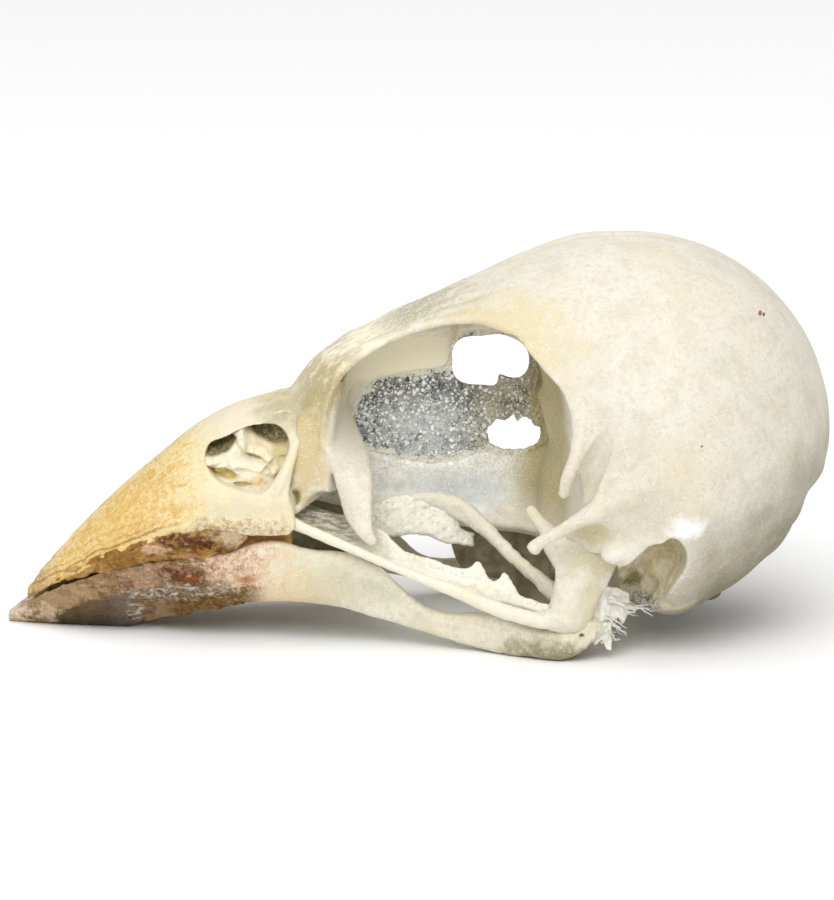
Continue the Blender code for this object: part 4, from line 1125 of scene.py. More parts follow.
def shreds(side, word, finish):
    """Dried shreds at the jaw's joint: two thin puckered flaps, ruled between an uneven lower edge and an
    upper one, and fine wandering strands, each a smooth path between two jittered ends."""
    rng = np.random.default_rng(7)
    up = np.linspace(0, 1, 50)[None]
    x = np.linspace(6.2, 7.6, 60)[:, None]
    low = 0.85 + 0.35 * (x - 6.2) ** 2 + 0.25 * uneven(spread(x, 0, 0), 0.16, 105)
    high = 3.0 - 0.5 * (x - 6.2) + 0.1 * uneven(spread(x, 0, 0), 0.3, 106)
    flap = spread(x, 5.75 + 0.1 * np.sin(4 * x), low + (high - low) * up)
    flap[..., 1] = side * (flap[..., 1] + 0.2 * uneven(flap, 0.35, 107) + 0.08 * uneven(flap, 0.15, 108)
                           - 0.3 * (x - 6.2))
    x = np.linspace(5.95, 6.95, 50)[:, None]
    low = 0.55 + 0.25 * uneven(spread(x, 0, 0), 0.2, 109)
    rag = spread(x, 6.0 - 0.25 * (x - 6.2), low + (1.35 - low) * up)
    rag[..., 1] = side * (rag[..., 1] + 0.15 * uneven(rag, 0.3, 110) + 0.08 * uneven(rag, 0.13, 111))
    bodies = [plate(flap, 0.07, (0.03, 0.05)), plate(rag, 0.06, (0.05, 0.05))]
    for start, end, count in (((6.8, 5.75, 2.2), (7.9, 5.5, 1.75), 7),
                              ((6.9, 5.7, 1.6), (7.45, 5.6, 0.85), 5),
                              ((6.4, 5.9, 1.2), (7.2, 5.7, 0.75), 7),
                              ((7.5, 5.5, 1.9), (8.5, 5.0, 1.75), 5),
                              ((6.5, 5.9, 1.0), (6.9, 5.8, 0.45), 5)):
        for _ in range(count):
            ends = np.array((start, end)) + rng.normal(0, (0.14, 0.1, 0.14), (2, 3))
            path = np.linspace(ends[0], ends[1], 6) + rng.normal(0, 0.06, (6, 3))
            path[:, 1] *= side
            thick = rng.uniform(0.012, 0.034) * np.array((2.2, 1.4, 1.0, 0.8, 0.6, 0.3))
            bodies.append(rod(path, thick, thick, 6, 20))
    return done(object_of(f"shreds_{word}", bodies), finish)


def throat_shade_sheet(finish):
    """A dark sheet along the middle below the palate, there as painted shade for the dark between the
    jaws: a sheet ruled from its upper to its torn lower edge, waving as a sine that grows downward."""
    x = np.linspace(-4.9, 4.95, 260)[:, None]
    down = np.linspace(0, 1, 60)[None]
    high = through(((-4.9, 4.6), (-2, 4.3), (1, 4.0), (4.95, 3.6)), x)
    low = through(((-4.9, 2.3), (-2.9, 2.1), (-2.1, 2.35), (-1.4, 2.9), (-0.6, 3.25), (0.5, 3.32),
                   (1.15, 3.2), (1.45, 2.3), (2.2, 1.8), (3.1, 1.3), (3.6, 0.75), (4.95, 0.45)), x)
    low = low + 0.06 * uneven(spread(x, 0, 0), 0.3, 101)
    z = high + (low - high) * down
    y = 0.35 + 0.25 * np.sin(1.7 * x + 1.2 * down) * down + 0.1 * uneven(spread(x, 0 * x, z), 0.6, 102)
    made = object_of("throat_shade_sheet", [plate(spread(x, y, z), 0.12, (0.01, 0.03))])
    return done(made, finish)


def mouth_corner(side, word, finish):
    """The dried skin at the corner of the mouth, ruled between the bill's edge and the jaw and drawn in
    between them as a sine."""
    along = np.linspace(0, 1, 40)[:, None]
    down = np.linspace(0, 1, 24)[None]
    x = -6.6 + 2.1 * along
    z = 4.35 - 0.1 * along - (0.95 - 0.3 * along) * down
    y = 3.35 + 0.1 * along - 0.45 * np.sin(math.pi * down) * (1 - 0.4 * along)
    made = object_of(f"mouth_corner_{word}", [plate(spread(x, side * y, z), 0.2, (0.05, 0.1))])
    return done(made, finish)


# ---------------------------------------------------------------- finishes

def tone(red, green, blue):
    """A colour given as 0 to 255 screen values, made linear: ((v + 0.055) / 1.055) to the power 2.4."""
    values = np.array((red, green, blue)) / 255
    linear = np.where(values <= 0.04045, values / 12.92, ((values + 0.055) / 1.055) ** 2.4)
    return (*linear.tolist(), 1.0)


class Finish:
    """A material built up in coats, one over the other, by the place on the skull in millimetres. A colour
    is given as three screen values, or as a mix."""

    def __init__(self, name, ground, roughness, under, gloss=0.4):
        self.made = bpy.data.materials.new(name)
        self.made.use_nodes = True
        self.tree = self.made.node_tree
        self.colour = ground
        self.shader = self.tree.nodes["Principled BSDF"]
        self.shader.inputs["Roughness"].default_value = roughness
        self.shader.inputs["Subsurface Weight"].default_value = under
        self.shader.inputs["Subsurface Radius"].default_value = (1.0, 0.72, 0.45)
        self.shader.inputs["Subsurface Scale"].default_value = 0.0005
        self.shader.inputs["Specular IOR Level"].default_value = gloss
        place = self.tree.nodes.new("ShaderNodeTexCoord").outputs["Object"]
        self.mm = self.node("ShaderNodeVectorMath", {0: place, 1: (1 / MM,) * 3}, operation="MULTIPLY")
        apart = self.tree.nodes.new("ShaderNodeSeparateXYZ")
        self.tree.links.new(self.mm, apart.inputs[0])
        self.x, self.y, self.z = apart.outputs
        self.out = self.math("ABSOLUTE", self.y)
        self.folded = self.node("ShaderNodeCombineXYZ", {0: self.x, 1: self.out, 2: self.z})

    def node(self, kind, inputs, output=0, **settings):
        """Adds a node, sets or links its inputs and returns one output."""
        made = self.tree.nodes.new(kind)
        for name, value in settings.items():
            setattr(made, name, value)
        for key, value in inputs.items():
            if isinstance(value, bpy.types.NodeSocket):
                self.tree.links.new(value, made.inputs[key])
            else:
                made.inputs[key].default_value = value
        return made.outputs[output]

    def math(self, operation, a, b=0.0):
        """One operation on one or two values."""
        return self.node("ShaderNodeMath", {0: a, 1: b}, operation=operation)

    def plus(self, a, b):
        """The sum of two values."""
        return self.math("ADD", a, b)

    def times(self, product, *others):
        """The product of all the values."""
        for other in others:
            product = self.math("MULTIPLY", product, other)
        return product

    def noise(self, size, detail, rough=0.55, warp=0.0, vector=None):
        """Clouds of about this size in millimetres, from 0 to 1."""
        return self.node("ShaderNodeTexNoise", {"Vector": vector or self.mm, "Scale": 1 / size,
                                                "Detail": detail, "Roughness": rough, "Distortion": warp})

    def cells(self, size):
        """Distance to the nearest of points strewn about this far apart."""
        return self.node("ShaderNodeTexVoronoi", {"Vector": self.mm, "Scale": 1 / size})

    def band(self, value, low, high, start=0.0, end=1.0):
        """start below low, end above high, eased between them."""
        return self.node("ShaderNodeMapRange", {0: value, 1: low, 2: high, 3: start, 4: end},
                         interpolation_type="SMOOTHSTEP")

    def sway(self, value, most, size, detail, rough=0.55):
        """The value moved up and down, unevenly, by at most this much."""
        return self.plus(value, self.band(self.noise(size, detail, rough), 0.3, 0.7, -most, most))

    def along(self, direction, output=0, operation="MULTIPLY"):
        """The place squeezed by a share along each axis, so that a pattern on it is drawn out."""
        return self.node("ShaderNodeVectorMath", {0: self.mm, 1: direction}, output, operation=operation)

    def length(self, vector):
        """How long a vector is."""
        return self.node("ShaderNodeVectorMath", {0: vector}, "Value", operation="LENGTH")

    def patch(self, centre, radii, soft=0.6, wobble=0.35, size=0.5):
        """1 inside an ellipsoid on both sides of the skull, easing to 0 outside, with an uneven edge."""
        moved = self.node("ShaderNodeVectorMath", {0: self.folded, 1: centre}, operation="SUBTRACT")
        scaled = self.node("ShaderNodeVectorMath", {0: moved, 1: tuple(1 / r for r in radii)},
                           operation="MULTIPLY")
        shaken = self.plus(self.length(scaled), self.band(self.noise(size, 3), 0.25, 0.75, -wobble, wobble))
        return self.band(shaken, 1 - soft, 1 + soft, 1.0, 0.0)

    def speck(self, x, z, size):
        """1 within a small round on the skull's left side, easing to 0 outside."""
        moved = self.node("ShaderNodeVectorMath", {0: self.mm, 1: (x, 0, z)}, operation="SUBTRACT")
        flat = self.node("ShaderNodeVectorMath", {0: moved, 1: (1, 0, 1)}, operation="MULTIPLY")
        return self.times(self.band(self.length(flat), size, 0.5 * size), self.band(self.y, 0.0, -0.5))

    def mark(self, name):
        """The numbers stored on the mesh's corners under this name."""
        return self.node("ShaderNodeAttribute", {}, "Fac", attribute_name=name)

    def mix(self, under, over, *shares):
        """One colour laid over another by the product of the shares."""
        under, over = (c if isinstance(c, bpy.types.NodeSocket) else tone(*c) for c in (under, over))
        return self.node("ShaderNodeMix", {0: self.times(*shares), 6: under, 7: over}, 2, data_type="RGBA")

    def coat(self, colour, *shares):
        """Lays a colour over all coats before it, by the product of the shares."""
        self.colour = self.mix(self.colour, colour, *shares)

    def stain(self, *stains):
        """Lays on stains in turn, each given as its colour, its share and what its patch takes."""
        for colour, share, *place in stains:
            self.coat(colour, self.patch(*place), share)

    def finish(self, heights):
        """Sets the colour and a bump built up from (height, depth in millimetres) pairs."""
        self.tree.links.new(self.colour, self.shader.inputs["Base Color"])
        bump = {}
        for height, depth in heights:
            normal = self.node("ShaderNodeBump", {"Height": height, "Distance": depth * MM, "Strength": 1.0,
                                                  **bump})
            bump = {"Normal": normal}
        self.tree.links.new(normal, self.shader.inputs["Normal"])
        return self.made


def bone(name, light, dark, warm):
    """Dry bone: broad and fine mottling from a light to a dark tone, and faint warm clouds."""
    f = Finish(name, light, 0.5, 0.2)
    f.coat(dark, f.band(f.noise(1.1, 4, 0.6, 0.4), 0.42, 0.72, 0.0, 0.55))
    f.coat(dark, f.band(f.noise(0.2, 4, 0.7), 0.46, 0.68, 0.0, 0.6))
    f.coat(warm, f.band(f.noise(2.6, 3), 0.45, 0.75, 0.0, 0.5))
    return f


def speckled(f, share=0.5):
    """White specks under a tenth of a millimetre wide."""
    f.coat((248, 246, 240), f.band(f.noise(0.06, 2, 0.6), 0.58, 0.7), share)


def bone_heights(f, grain=0.03):
    """Bone's bump: broad unevenness, fine grain and small pores."""
    return [(f.noise(0.35, 4, 0.6), grain * 1.5), (f.noise(0.06, 3, 0.6), grain * 0.5),
            (f.band(f.cells(0.16), 0.0, 0.25), grain * 0.35)]


def forehead_coats(f):
    """A yellower forehead, tan bone behind the bill, painted olive shade in a dent at its foot, and a yellow
    frontal corner above."""
    f.stain(((214, 200, 158), 0.8, (2.9, 4.4, 11.4), (2.6, 2.4, 1.5)),
            ((203, 182, 133), 0.9, (-4.0, 2.7, 7.2), (0.75, 1.1, 1.9), 0.4),
            # painted shade in the dent at the bill's foot
            ((136, 128, 74), 0.9, (-4.4, 3.0, 5.3), (0.19, 0.7, 0.29), 0.3, 0.1),
            ((174, 158, 106), 0.85, (-3.3, 2.0, 9.6), (1.4, 2.6, 1.5)))


def roof_coats(f):
    """The roof between the eyes: greyish, pitted and crusted, with fine lines along the brows."""
    share = f.times(f.patch((-0.8, 0.0, 11.2), (3.6, 2.1, 1.9), 0.35), f.band(f.z, 8.7, 9.4))
    f.coat((170, 166, 138), share, f.band(f.noise(0.13, 5, 0.7, 0.6), 0.4, 0.54, 0.25, 1.0))
    f.coat((246, 243, 230), share, f.band(f.noise(0.17, 4, 0.7), 0.56, 0.66, 0.0, 0.7))
    f.coat((178, 164, 118), f.mark("brow_line"), 0.55)


def nape_coats(f):
    """Painted shade toward the nape and the lower rear, where the bone turns from the lamps, painted shade in
    the hollow above the jaw's joint, and duller bone around the ears' upper edge.
    """
    # painted shade: darker toward the lower rear
    rear = f.sway(f.along((0.62, 0.0, -0.78), "Value", "DOT_PRODUCT"), 0.45, 1.4, 4)
    f.coat((128, 119, 90), f.band(rear, 1.5, 5.6, 0.0, 0.95))
    f.coat((108, 100, 74), f.band(rear, 5.2, 6.8, 0.0, 0.85))
    # the first stain is painted shade in the hollow above the jaw's joint; the second is duller bone
    f.stain(((198, 186, 148), 0.85, (6.1, 6.6, 4.7), (1.1, 1.4, 0.5), 0.5),
            ((192, 185, 164), 0.6, (8.2, 7.0, 5.9), (1.2, 1.6, 0.8), 0.7))


def ear_coats(f):
    """The ears' hollows: cloudy cream with painted olive shade in a dent in front and a glassy foot, and
    painted white highlights on the rim."""
    cream = f.mix((204, 190, 146), (230, 221, 198), f.band(f.noise(0.45, 5, 0.7, 0.2), 0.42, 0.6))
    f.coat(cream, f.patch((8.5, 5.0, 3.0), (1.6, 1.1, 2.0), 0.15, 0.1), f.band(f.out, 6.3, 5.9),
           f.band(f.z, 1.5, 2.0), 0.9)
    # painted shade in the dark hole in front of the ear
    f.stain(((124, 112, 60), 0.95, (7.72, 4.8, 2.6), (0.36, 1.1, 0.34), 0.4))
    glassy = f.mix((92, 92, 80), (206, 206, 196), f.band(f.noise(0.14, 4, 0.7, 1.0), 0.44, 0.6))
    f.coat(glassy, f.patch((8.15, 4.8, 1.85), (0.62, 1.2, 0.42), 0.35), 0.85)
    # painted highlights on the bulge above the ear and on the wall's corner above the jaw's joint
    f.stain(((253, 253, 252), 0.95, (9.5, 7.0, 5.15), (0.6, 1.5, 0.4)),
            ((244, 243, 238), 0.3, (7.2, 6.8, 4.25), (0.65, 0.6, 0.35)))


def keel_coats(f):
    """The lower wall between the eyes: cloudy and bluish white, with grains near its thin part."""
    cloudy = f.mix((228, 226, 214), (250, 250, 248), f.band(f.noise(0.6, 6, 0.7), 0.38, 0.62))
    cloudy = f.mix(cloudy, (196, 206, 214), f.patch((1.7, 0.0, 4.9), (1.7, 1.2, 0.8), 0.6),
                   f.band(f.noise(0.5, 4, 0.6), 0.3, 0.7, 0.3, 1.0), 0.85)
    cloudy = f.mix(cloudy, (206, 198, 166), f.band(f.x, 2.8, 4.0), 0.8)
    cloudy = f.mix(cloudy, (168, 166, 150), f.band(f.noise(0.1, 3, 0.6), 0.42, 0.6),
                   f.band(f.z, 4.6, 6.4, 0.05, 0.5))
    cloudy = f.mix(cloudy, (252, 252, 250), f.band(f.noise(0.08, 3, 0.6), 0.56, 0.64), 0.6)
    f.coat(cloudy, f.patch((0.8, 0.0, 5.2), (4.0, 0.9, 1.9), 0.3), 0.95)
    f.stain(((212, 206, 188), 0.8, (-2.7, 1.5, 7.3), (0.75, 1.7, 1.9), 0.4))


def socket_coats(f):
    """The inside of the sockets: painted light on the roof's underside, and painted olive shade on the back
    wall that is darkest beside the middle.
    """
    # painted light: the roof's underside lightened where it lies in shade
    f.coat((242, 235, 208), f.patch((0.2, 0.6, 9.9), (3.4, 2.4, 1.7), 0.35), f.band(f.z, 11.6, 10.8), 0.95)
    # painted shade on the socket's back wall
    f.coat((170, 156, 106), f.band(f.x, 3.4, 4.3), f.band(f.x, 5.6, 5.2), f.band(f.out, 5.9, 3.4),
           f.band(f.z, 3.6, 5.4), f.band(f.z, 11.2, 10.4), 0.85)
    # painted shade, darkest, in the recess beside the middle
    f.stain(((98, 86, 50), 0.85, (4.4, 0.8, 9.6), (0.5, 0.9, 1.1), 0.4, 0.25))


def cranium_finish():
    """Ivory bone, coated place by place, with white specks all over and three small stains on its left."""
    f = bone("cranium_bone", (220, 214, 199), (197, 190, 169), (212, 201, 170))
    for coats in (forehead_coats, roof_coats, nape_coats, ear_coats, keel_coats, socket_coats):
        coats(f)
    speckled(f)
    for x, z, size, colour in ((12.28, 12.1, 0.1, (150, 96, 64)), (12.42, 12.03, 0.07, (140, 80, 52)),
                               (10.03, 8.08, 0.06, (120, 116, 108))):
        f.coat(colour, f.speck(x, z, size))
    return f.finish(bone_heights(f, 0.02))


def septum_finish():
    """A thin wall whose grey is painted shade, the dark of the far socket seen through it, with countless
    white grains, hazy in its middle, fading to bone along its border.
    """
    # painted shade: the grey ground and the grey clouds and specks below stand for the dark behind the thin
    # wall
    f = Finish("septum_bone_and_shade", (104, 107, 106), 0.42, 0.1)
    f.coat((178, 182, 182), f.band(f.noise(0.5, 4, 0.65), 0.36, 0.6))
    f.coat((84, 86, 84), f.band(f.z, 7.6, 8.8), f.band(f.noise(0.35, 4, 0.6), 0.35, 0.6, 0.2, 0.8))
    f.coat((44, 45, 42), f.band(f.noise(0.13, 3, 0.7), 0.47, 0.57, 0.0, 0.95))
    f.coat((172, 164, 134), f.band(f.x, 1.4, 3.2, 0.0, 0.75))
    # painted shade in the recess beside the upper window
    f.coat((96, 88, 58), f.patch((3.9, 0.0, 8.3), (0.9, 2.0, 0.6)), f.band(f.noise(0.2, 4, 0.7), 0.4, 0.6))
    f.coat((206, 210, 210), f.patch((0.1, 0.0, 7.2), (1.6, 2.0, 1.2), 0.6),
           f.band(f.noise(0.4, 4), 0.3, 0.7, 0.2, 0.8))
    big = f.times(f.band(f.cells(0.19), 0.48, 0.28), f.band(f.noise(0.22, 3), 0.44, 0.5))
    small = f.times(f.band(f.cells(0.11), 0.46, 0.26), f.band(f.noise(0.3, 3), 0.56, 0.46))
    grains = f.math("MAXIMUM", big, small)
    f.coat((250, 250, 246), grains, 0.95, f.band(f.x, 1.2, 2.6, 1.0, 0.7))
    f.coat((222, 222, 216), f.band(f.noise(0.06, 2), 0.56, 0.64), 0.45)
    f.coat((226, 223, 208), f.band(f.sway(f.mark("border"), 0.45, 0.3, 4, 0.7), 0.3, 0.8))
    f.coat((182, 170, 128), f.band(f.sway(f.x, 0.25, 0.4, 4), 3.95, 4.35))
    return f.finish([(f.noise(0.14, 3), 0.06), (grains, 0.03)])


def bill_flecks(f):
    """Deeper yellow toward the bill's tip, with ochre blots and dots, cream flecks and a brown tip."""
    ridge = f.band(f.out, 1.5, 0.2)
    f.coat((218, 184, 104), f.band(f.x, -7.0, -11.5, 0.0, 0.8), f.band(ridge, 0.0, 1.0, 1.0, 0.5))
    tipward = f.band(f.x, -6.6, -9.4)
    long_way = f.along((0.6, 1.0, 0.75))
    f.coat((206, 156, 62), f.band(f.noise(0.5, 5, 0.72, 0.5, long_way), 0.5, 0.64), tipward, 0.7)
    f.coat((182, 132, 44), f.band(f.noise(0.16, 3, 0.65), 0.52, 0.62), tipward, 0.5)
    f.coat((242, 232, 190), f.band(f.noise(0.12, 3, 0.6, vector=long_way), 0.6, 0.68), tipward, 0.5)
    f.coat((208, 154, 60), f.patch((-9.9, 1.6, 4.6), (1.5, 1.5, 1.1), 0.6),
           f.band(f.noise(0.3, 5, 0.7), 0.4, 0.62), 0.6)
    f.coat((150, 112, 50), f.band(f.x, -12.9, -14.0), f.band(f.noise(0.25, 4, 0.7), 0.35, 0.6, 0.3, 1.0),
           0.75)


def bill_finish():
    """Bill bone: cream at its rear, yellow and flecked toward its tip, with brown lines along its cutting
    edge and crusts on the ridge behind."""
    f = bone("bill_bone", (230, 216, 170), (222, 200, 138), (226, 206, 144))
    bill_flecks(f)
    above = f.sway(f.mark("above"), 0.06, 0.6, 4, 0.6)
    for height, wide, share in ((0.41, 0.06, 0.7), (0.62, 0.035, 0.4), (0.9, 0.03, 0.3)):
        line = f.math("ABSOLUTE", f.math("SUBTRACT", above, height))
        f.coat((146, 104, 40), f.band(line, wide, 0.3 * wide), f.band(f.x, -8.2, -10.0), share)
    f.stain(((220, 212, 190), 0.8, (-5.4, 3.2, 6.6), (2.2, 2.2, 2.8)),
            ((220, 213, 194), 0.7, (-6.8, 0.9, 7.9), (1.8, 1.6, 0.7)),
            ((172, 166, 134), 0.85, (-4.7, 1.2, 8.2), (1.0, 1.6, 0.6)),
            ((212, 198, 166), 0.7, (-6.4, 3.8, 4.9), (1.6, 0.8, 0.5)))
    crust = f.mix((222, 210, 182), (180, 152, 104), f.band(f.noise(0.2, 4, 0.7), 0.4, 0.62))
    f.coat(crust, f.patch((-6.6, 3.7, 4.3), (2.0, 0.8, 0.42), 0.3), 0.9)
    speckled(f, 0.4)
    return f.finish(bone_heights(f))


def cream_finish(name, light, dark, warm):
    """Plain dry bone or skin: the mottling of bone with white specks."""
    f = bone(name, light, dark, warm)
    speckled(f)
    return f.finish(bone_heights(f))


def joint_finish():
    """The bone at the jaw's joint: cream, yellower in its hollow and near the temple."""
    f = bone("joint_bone", (224, 219, 203), (208, 201, 176), (218, 208, 174))
    f.stain(((194, 184, 144), 0.6, (6.3, 6.2, 3.7), (1.2, 1.2, 0.5), 0.6),
            ((202, 192, 154), 0.6, (6.3, 6.0, 2.4), (0.4, 1.2, 0.9), 0.6))
    speckled(f)
    return f.finish(bone_heights(f, 0.04))


def palate_finish():
    """Thin pale bone with fine grit, greyer and streaked lengthwise where it runs in under the bill."""
    f = bone("palate_bone", (242, 239, 224), (222, 217, 196), (236, 227, 200))
    streaks = f.noise(0.2, 4, 0.65, vector=f.along((0.25, 1.3, 1.3)))
    streaked = f.mix((156, 150, 124), (222, 218, 202), f.band(streaks, 0.4, 0.6))
    f.coat(streaked, f.band(f.x, -1.6, -2.8))
    inner_wing = f.band(f.plus(f.z, f.times(f.x, 0.3)), 2.95, 3.4)
    f.coat((170, 166, 146), f.band(f.noise(0.12, 4, 0.7), 0.48, 0.64),
           f.band(f.noise(0.6, 3), 0.4, 0.6, 0.25, 1.0), f.band(inner_wing, 0.0, 1.0, 0.12, 0.6))
    speckled(f)
    return f.finish(bone_heights(f))


def horn_border(f):
    """What the horn's rear end and the jaw beside it share: pink crusted bone and an olive-gold lower
    border."""
    pink = f.mix((206, 168, 136), (170, 118, 72), f.band(f.noise(0.35, 5, 0.7), 0.47, 0.62))
    pink = f.mix(pink, (230, 212, 190), f.band(f.noise(0.14, 5, 0.75), 0.42, 0.6, 0.0, 0.9))
    f.coat(pink, f.patch((-6.35, 3.2, 2.9), (1.3, 1.7, 1.5), 0.45, 0.5), 0.95)
    f.stain(((226, 204, 168), 0.5, (-4.9, 3.3, 2.6), (0.7, 1.6, 1.2), 0.6),
            ((170, 112, 44), 0.8, (-6.1, 3.4, 2.35), (0.3, 1.2, 0.14)))
    rise = f.sway(f.math("SUBTRACT", f.z, f.times(f.x, 0.21)), 0.14, 0.3, 4, 0.7)
    gold = f.mix((88, 62, 8), (142, 106, 50), f.band(f.noise(0.2, 5, 0.7), 0.42, 0.66))
    f.coat(gold, f.band(rise, 3.42, 3.3), f.band(f.x, -9.4, -8.6), f.band(f.x, -5.2, -6.3), 0.92)


def jaw_finish():
    """The lower jaw: cream, pink and crusted beside the horn, with painted olive shade under its angle and
    painted shade in the small hole at the joint.
    """
    f = bone("jaw_bone", (222, 217, 199), (194, 188, 160), (212, 202, 166))
    f.stain(((214, 186, 132), 0.6, (-4.6, 3.5, 1.9), (1.3, 1.2, 0.7)),
            ((188, 184, 158), 0.45, (-2.2, 3.8, 2.0), (2.4, 1.2, 0.5)))
    horn_border(f)
    # painted shade under the jaw's angle and in the small hole at the joint
    f.stain(((120, 110, 66), 0.85, (5.0, 5.8, 0.15), (1.7, 1.6, 0.6)),
            ((70, 58, 36), 0.9, (5.87, 6.3, 1.0), (0.09, 1.0, 0.07), 0.4))
    speckled(f)
    return f.finish(bone_heights(f))


def skin_finish(name, light, dark):
    """Dried skin, or the dark sheet of painted shade below the palate: clouds of two tones with fine
    wrinkles.
    """
    f = Finish(name, light, 0.5, 0.1)
    f.coat(dark, f.band(f.noise(0.8, 4, 0.6, 0.5), 0.35, 0.65))
    return f.finish([(f.noise(0.3, 4, 0.6), 0.05)])


def horn(name, light, middle, dark, *blots):
    """Dried horn: clouds of two tones, flaking in layers along its length, with mottled blots, each given
    as its colour, its share, its middle and its radii."""
    f = Finish(name, light, 0.6, 0.1, 0.2)
    long_way = f.along((0.45, 1.0, 1.0))
    f.coat(middle, f.band(f.noise(0.6, 6, 0.75, 0.8, long_way), 0.4, 0.6))
    f.coat(dark, f.band(f.noise(0.35, 5, 0.75, 0.4, long_way), 0.52, 0.66, 0.0, 0.75))
    streaks = f.noise(0.2, 4, 0.7, 0.3, f.along((0.12, 1.0, 1.1)))
    f.coat(dark, f.band(streaks, 0.5, 0.62, 0.0, 0.45))
    mottled = f.band(f.noise(0.13, 6, 0.8, vector=long_way), 0.34, 0.52, 0.4, 1.0)
    for colour, share, centre, radii in blots:
        f.coat(colour, f.patch(centre, radii, 0.5, 0.6, 0.25), share, mottled)
    f.coat(light, f.band(f.noise(0.07, 3, 0.7), 0.52, 0.64, 0.0, 0.3))
    f.coat(dark, f.band(f.noise(0.05, 3, 0.7, 0.3), 0.54, 0.66, 0.0, 0.5))
    heights = [(f.noise(0.5, 5, 0.65, vector=long_way), 0.14), (streaks, 0.05), (f.noise(0.12, 4, 0.6), 0.06)]
    return f, heights, long_way


def strip_finish():
    """The upper bill's horn: golden brown in front, dark brown with pink specks behind."""
    f, heights, long_way = horn("upper_horn", (172, 130, 64), (140, 98, 42), (84, 48, 14),
                                ((206, 172, 112), 0.8, (-12.4, 1.8, 2.2), (1.0, 1.2, 0.3)),
                                ((172, 146, 100), 0.75, (-8.5, 3.3, 4.05), (1.0, 1.0, 0.15)),
                                ((74, 28, 2), 1.0, (-8.0, 3.5, 3.7), (1.2, 1.0, 0.27)),
                                ((218, 184, 154), 0.85, (-9.5, 2.9, 3.35), (0.5, 1.0, 0.16)),
                                ((196, 154, 104), 0.7, (-8.1, 3.4, 3.12), (1.5, 1.0, 0.1)),
                                ((210, 190, 164), 0.85, (-6.7, 3.6, 3.98), (0.6, 1.0, 0.28)))
    crust = f.band(f.noise(0.16, 4, 0.75, vector=long_way), 0.56, 0.68)
    f.coat((214, 190, 156), crust, f.band(f.x, -12.2, -9.8, 0.1, 0.5))
    return f.finish(heights)


def chin_facet(f):
    """The dark facet low on each side of the chin, under an edge that falls as a square from its middle:
    partly the horn's own dark tone and partly painted shade on the down-facing side, darker toward the
    bottom."""
    ahead = f.plus(f.x, 10.4)
    above = f.sway(f.plus(f.z, f.times(ahead, ahead, 0.14)), 0.1, 0.3, 4, 0.6)
    ends = f.sway(f.x, 0.3, 0.25, 5, 0.7)
    # partly painted shade, darker toward the bottom where the facet faces down
    shade = f.mix((92, 74, 50), (58, 44, 24), f.band(f.z, 1.1, 0.1))
    shade = f.mix(shade, (120, 112, 108), f.band(f.x, -11.6, -10.6), 0.4)
    shade = f.mix(shade, (136, 116, 82), f.band(f.noise(0.08, 4, 0.75), 0.5, 0.62, 0.0, 0.45))
    f.coat(shade, f.band(above, 1.62, 1.5), f.band(ends, -13.7, -13.0), f.band(ends, -10.0, -10.5), 0.95)


def chin_crusts(f, long_way):
    """White crusts in three places and small pale flakes, fewer on the red-brown stain. Returns the crusts'
    share."""
    crust = f.patch((-9.4, 2.6, 1.66), (1.1, 1.4, 0.26), 0.4, 0.5, 0.3)
    crust = f.math("MAXIMUM", crust, f.patch((-10.25, 2.4, 0.9), (0.3, 1.4, 0.9), 0.5, 0.6, 0.3))
    crust = f.math("MAXIMUM", crust, f.patch((-7.9, 2.9, 1.9), (1.2, 1.4, 0.2), 0.4, 0.5, 0.3))
    crust = f.times(f.band(f.noise(0.2, 5, 0.78, 0.4, long_way), 0.4, 0.56), crust)
    f.coat((204, 190, 168), crust, 0.9)
    flakes = f.band(f.noise(0.13, 5, 0.75, vector=long_way), 0.54, 0.68)
    stained = f.times(f.patch((-8.2, 3.0, 2.4), (0.95, 1.0, 0.36), 0.35), 0.85)
    f.coat((230, 212, 194), flakes, f.band(f.z, 0.9, 1.7), f.band(f.x, -13.0, -7.0, 0.25, 0.9),
           f.math("SUBTRACT", 1.0, stained))
    return crust


def chin_finish():
    """The lower bill's horn: a speckled tan tip, a dark facet low on each side that is partly painted shade,
    white crusts, a red-brown stain and a golden lower border behind."""
    f, heights, long_way = horn("lower_horn", (160, 130, 94), (126, 94, 58), (78, 52, 26),
                                ((172, 146, 108), 0.7, (-13.4, 1.2, 1.2), (2.0, 1.6, 0.9)),
                                ((224, 206, 184), 0.9, (-14.8, 0.3, 0.4), (0.6, 0.9, 0.5)),
                                ((214, 192, 168), 0.7, (-13.5, 1.1, 0.5), (0.35, 1.0, 0.35)),
                                ((176, 144, 116), 0.7, (-9.4, 2.6, 2.3), (1.1, 1.4, 0.5)),
                                ((84, 30, 2), 1.0, (-8.2, 3.0, 2.4), (1.0, 1.0, 0.38)),
                                ((134, 68, 8), 0.8, (-8.1, 3.0, 2.32), (0.4, 1.0, 0.16)),
                                ((150, 130, 100), 0.8, (-9.3, 2.4, 0.6), (0.8, 1.4, 0.6)))
    horn_border(f)
    chin_facet(f)
    return f.finish(heights + [(chin_crusts(f, long_way), 0.06)])


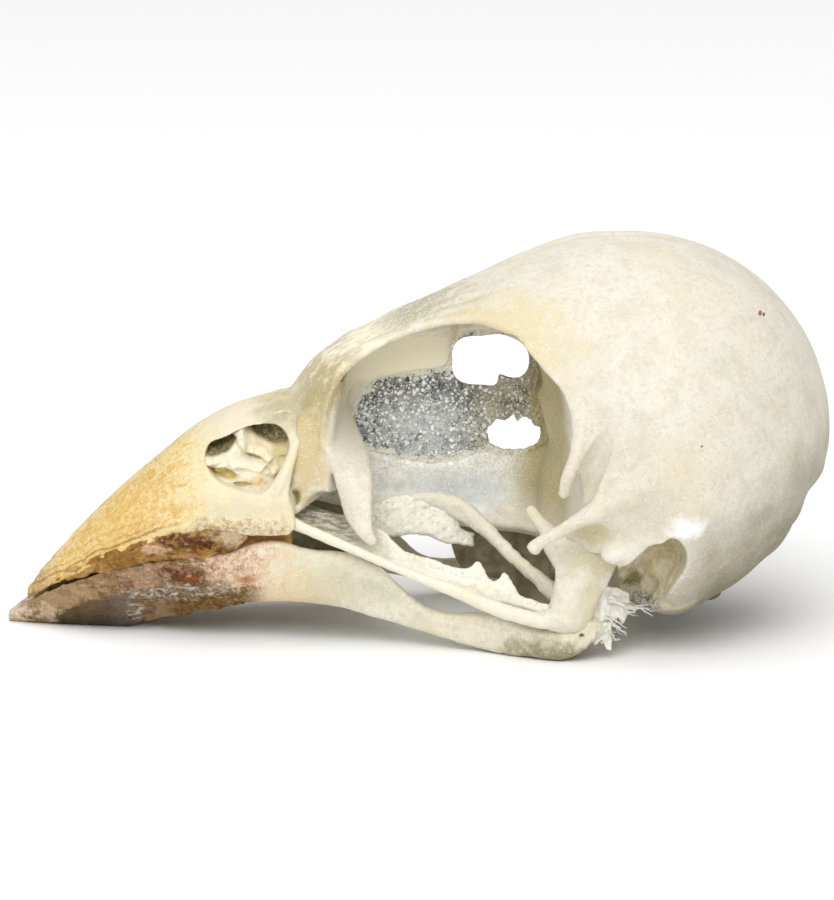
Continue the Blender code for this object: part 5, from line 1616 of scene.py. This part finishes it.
def scroll_finish():
    """The bone in the nostrils: cream on its folds, with painted olive shade in its pockets."""
    f = bone("nasal_bone", (232, 224, 202), (214, 202, 170), (222, 202, 152))
    f.stain(((208, 164, 96), 0.6, (-5.75, 2.5, 5.85), (0.28, 2.0, 0.14)),
            ((186, 172, 118), 0.8, (-4.9, 2.5, 6.95), (0.35, 2.0, 0.5)))
    # painted shade in the pockets, stronger where they sink deeper
    pocket = f.mix((176, 164, 114), (104, 98, 70), f.band(f.noise(0.12, 4, 0.7), 0.36, 0.56))
    pocket = f.mix(pocket, (214, 196, 130), f.band(f.z, 6.5, 6.2))
    f.coat(pocket, f.band(f.mark("sunk"), 0.1, 0.6, 0.0, 0.95))
    return f.finish(bone_heights(f))


# ---------------------------------------------------------------- stage

def placed(name, data, place, target):
    """An object for a lamp or a camera, turned so that its -Z looks from its place to a target."""
    holder = bpy.data.objects.new(name, data)
    holder.location = place
    holder.rotation_euler = (Vector(target) - Vector(place)).to_track_quat("-Z", "Y").to_euler()
    bpy.context.scene.collection.objects.link(holder)
    return holder


def stage():
    """A pale floor, soft light all round and large soft lamps above, the stronger one on the viewer's
    side."""
    far = FLOOR_REACH
    mesh = bpy.data.meshes.new("floor")
    mesh.from_pydata([(-far, -far, 0), (far, -far, 0), (far, far, 0), (-far, far, 0)], [], [(0, 1, 2, 3)])
    floor = bpy.data.objects.new("floor", mesh)
    bpy.context.scene.collection.objects.link(floor)
    pale = bpy.data.materials.new("pale_floor")
    pale.use_nodes = True
    shader = pale.node_tree.nodes["Principled BSDF"]
    shader.inputs["Base Color"].default_value = (FLOOR_TONE, FLOOR_TONE, FLOOR_TONE, 1)
    shader.inputs["Roughness"].default_value = 0.9
    mesh.materials.append(pale)
    world = bpy.data.worlds.new("soft_room")
    world.use_nodes = True
    world.node_tree.nodes["Background"].inputs[0].default_value = (1, 1, 1, 1)
    world.node_tree.nodes["Background"].inputs[1].default_value = ROOM_LIGHT
    bpy.context.scene.world = world
    for name, place, size, power in LAMPS:
        lamp = bpy.data.lights.new(name, "AREA")
        lamp.size, lamp.energy = size, power
        placed(name, lamp, place, LAMP_TARGET)
    bpy.context.scene.view_settings.view_transform = "Standard"


def camera():
    """The photograph's view: it looks along +Y and a little down."""
    lens = bpy.data.cameras.new("camera")
    lens.lens, lens.sensor_width, lens.clip_start = LENS, SENSOR, NEAREST
    angle, target = math.radians(VIEW_ANGLE), Vector(VIEW_TARGET)
    place = target + VIEW_DISTANCE * Vector((0, -math.cos(angle), math.sin(angle)))
    bpy.context.scene.camera = placed("camera", lens, place, target)


def build():
    """Makes every piece with its finish, then the stage and the camera."""
    # a dark sheet of painted shade below the palate, in the dried skin's finish
    throat_shade_sheet(skin_finish("throat_shade_sheet", (150, 142, 112), (108, 100, 76)))
    cranium(cranium_finish())
    septum(septum_finish())
    upper_bill(bill_finish())
    lower_bill(chin_finish())
    joint = joint_finish()
    mouth_skin = skin_finish("mouth_skin", (188, 152, 96), (160, 118, 66))
    bar = cream_finish("jugal_bone", (229, 224, 209), (222, 215, 190), (226, 217, 188))
    shred = cream_finish("shred_skin", (240, 238, 228), (218, 213, 196), (232, 226, 206))
    pairs = ((nasal_scroll, scroll_finish()), (mouth_corner, mouth_skin), (horn_strip, strip_finish()),
             (jaw_branch, jaw_finish()), (jugal, bar), (palatine, palate_finish()), (pterygoid, joint),
             (quadrate, joint), (shreds, shred))
    for side, word in SIDES:
        for piece, finish in pairs:
            piece(side, word, finish)
    stage()
    camera()


build()
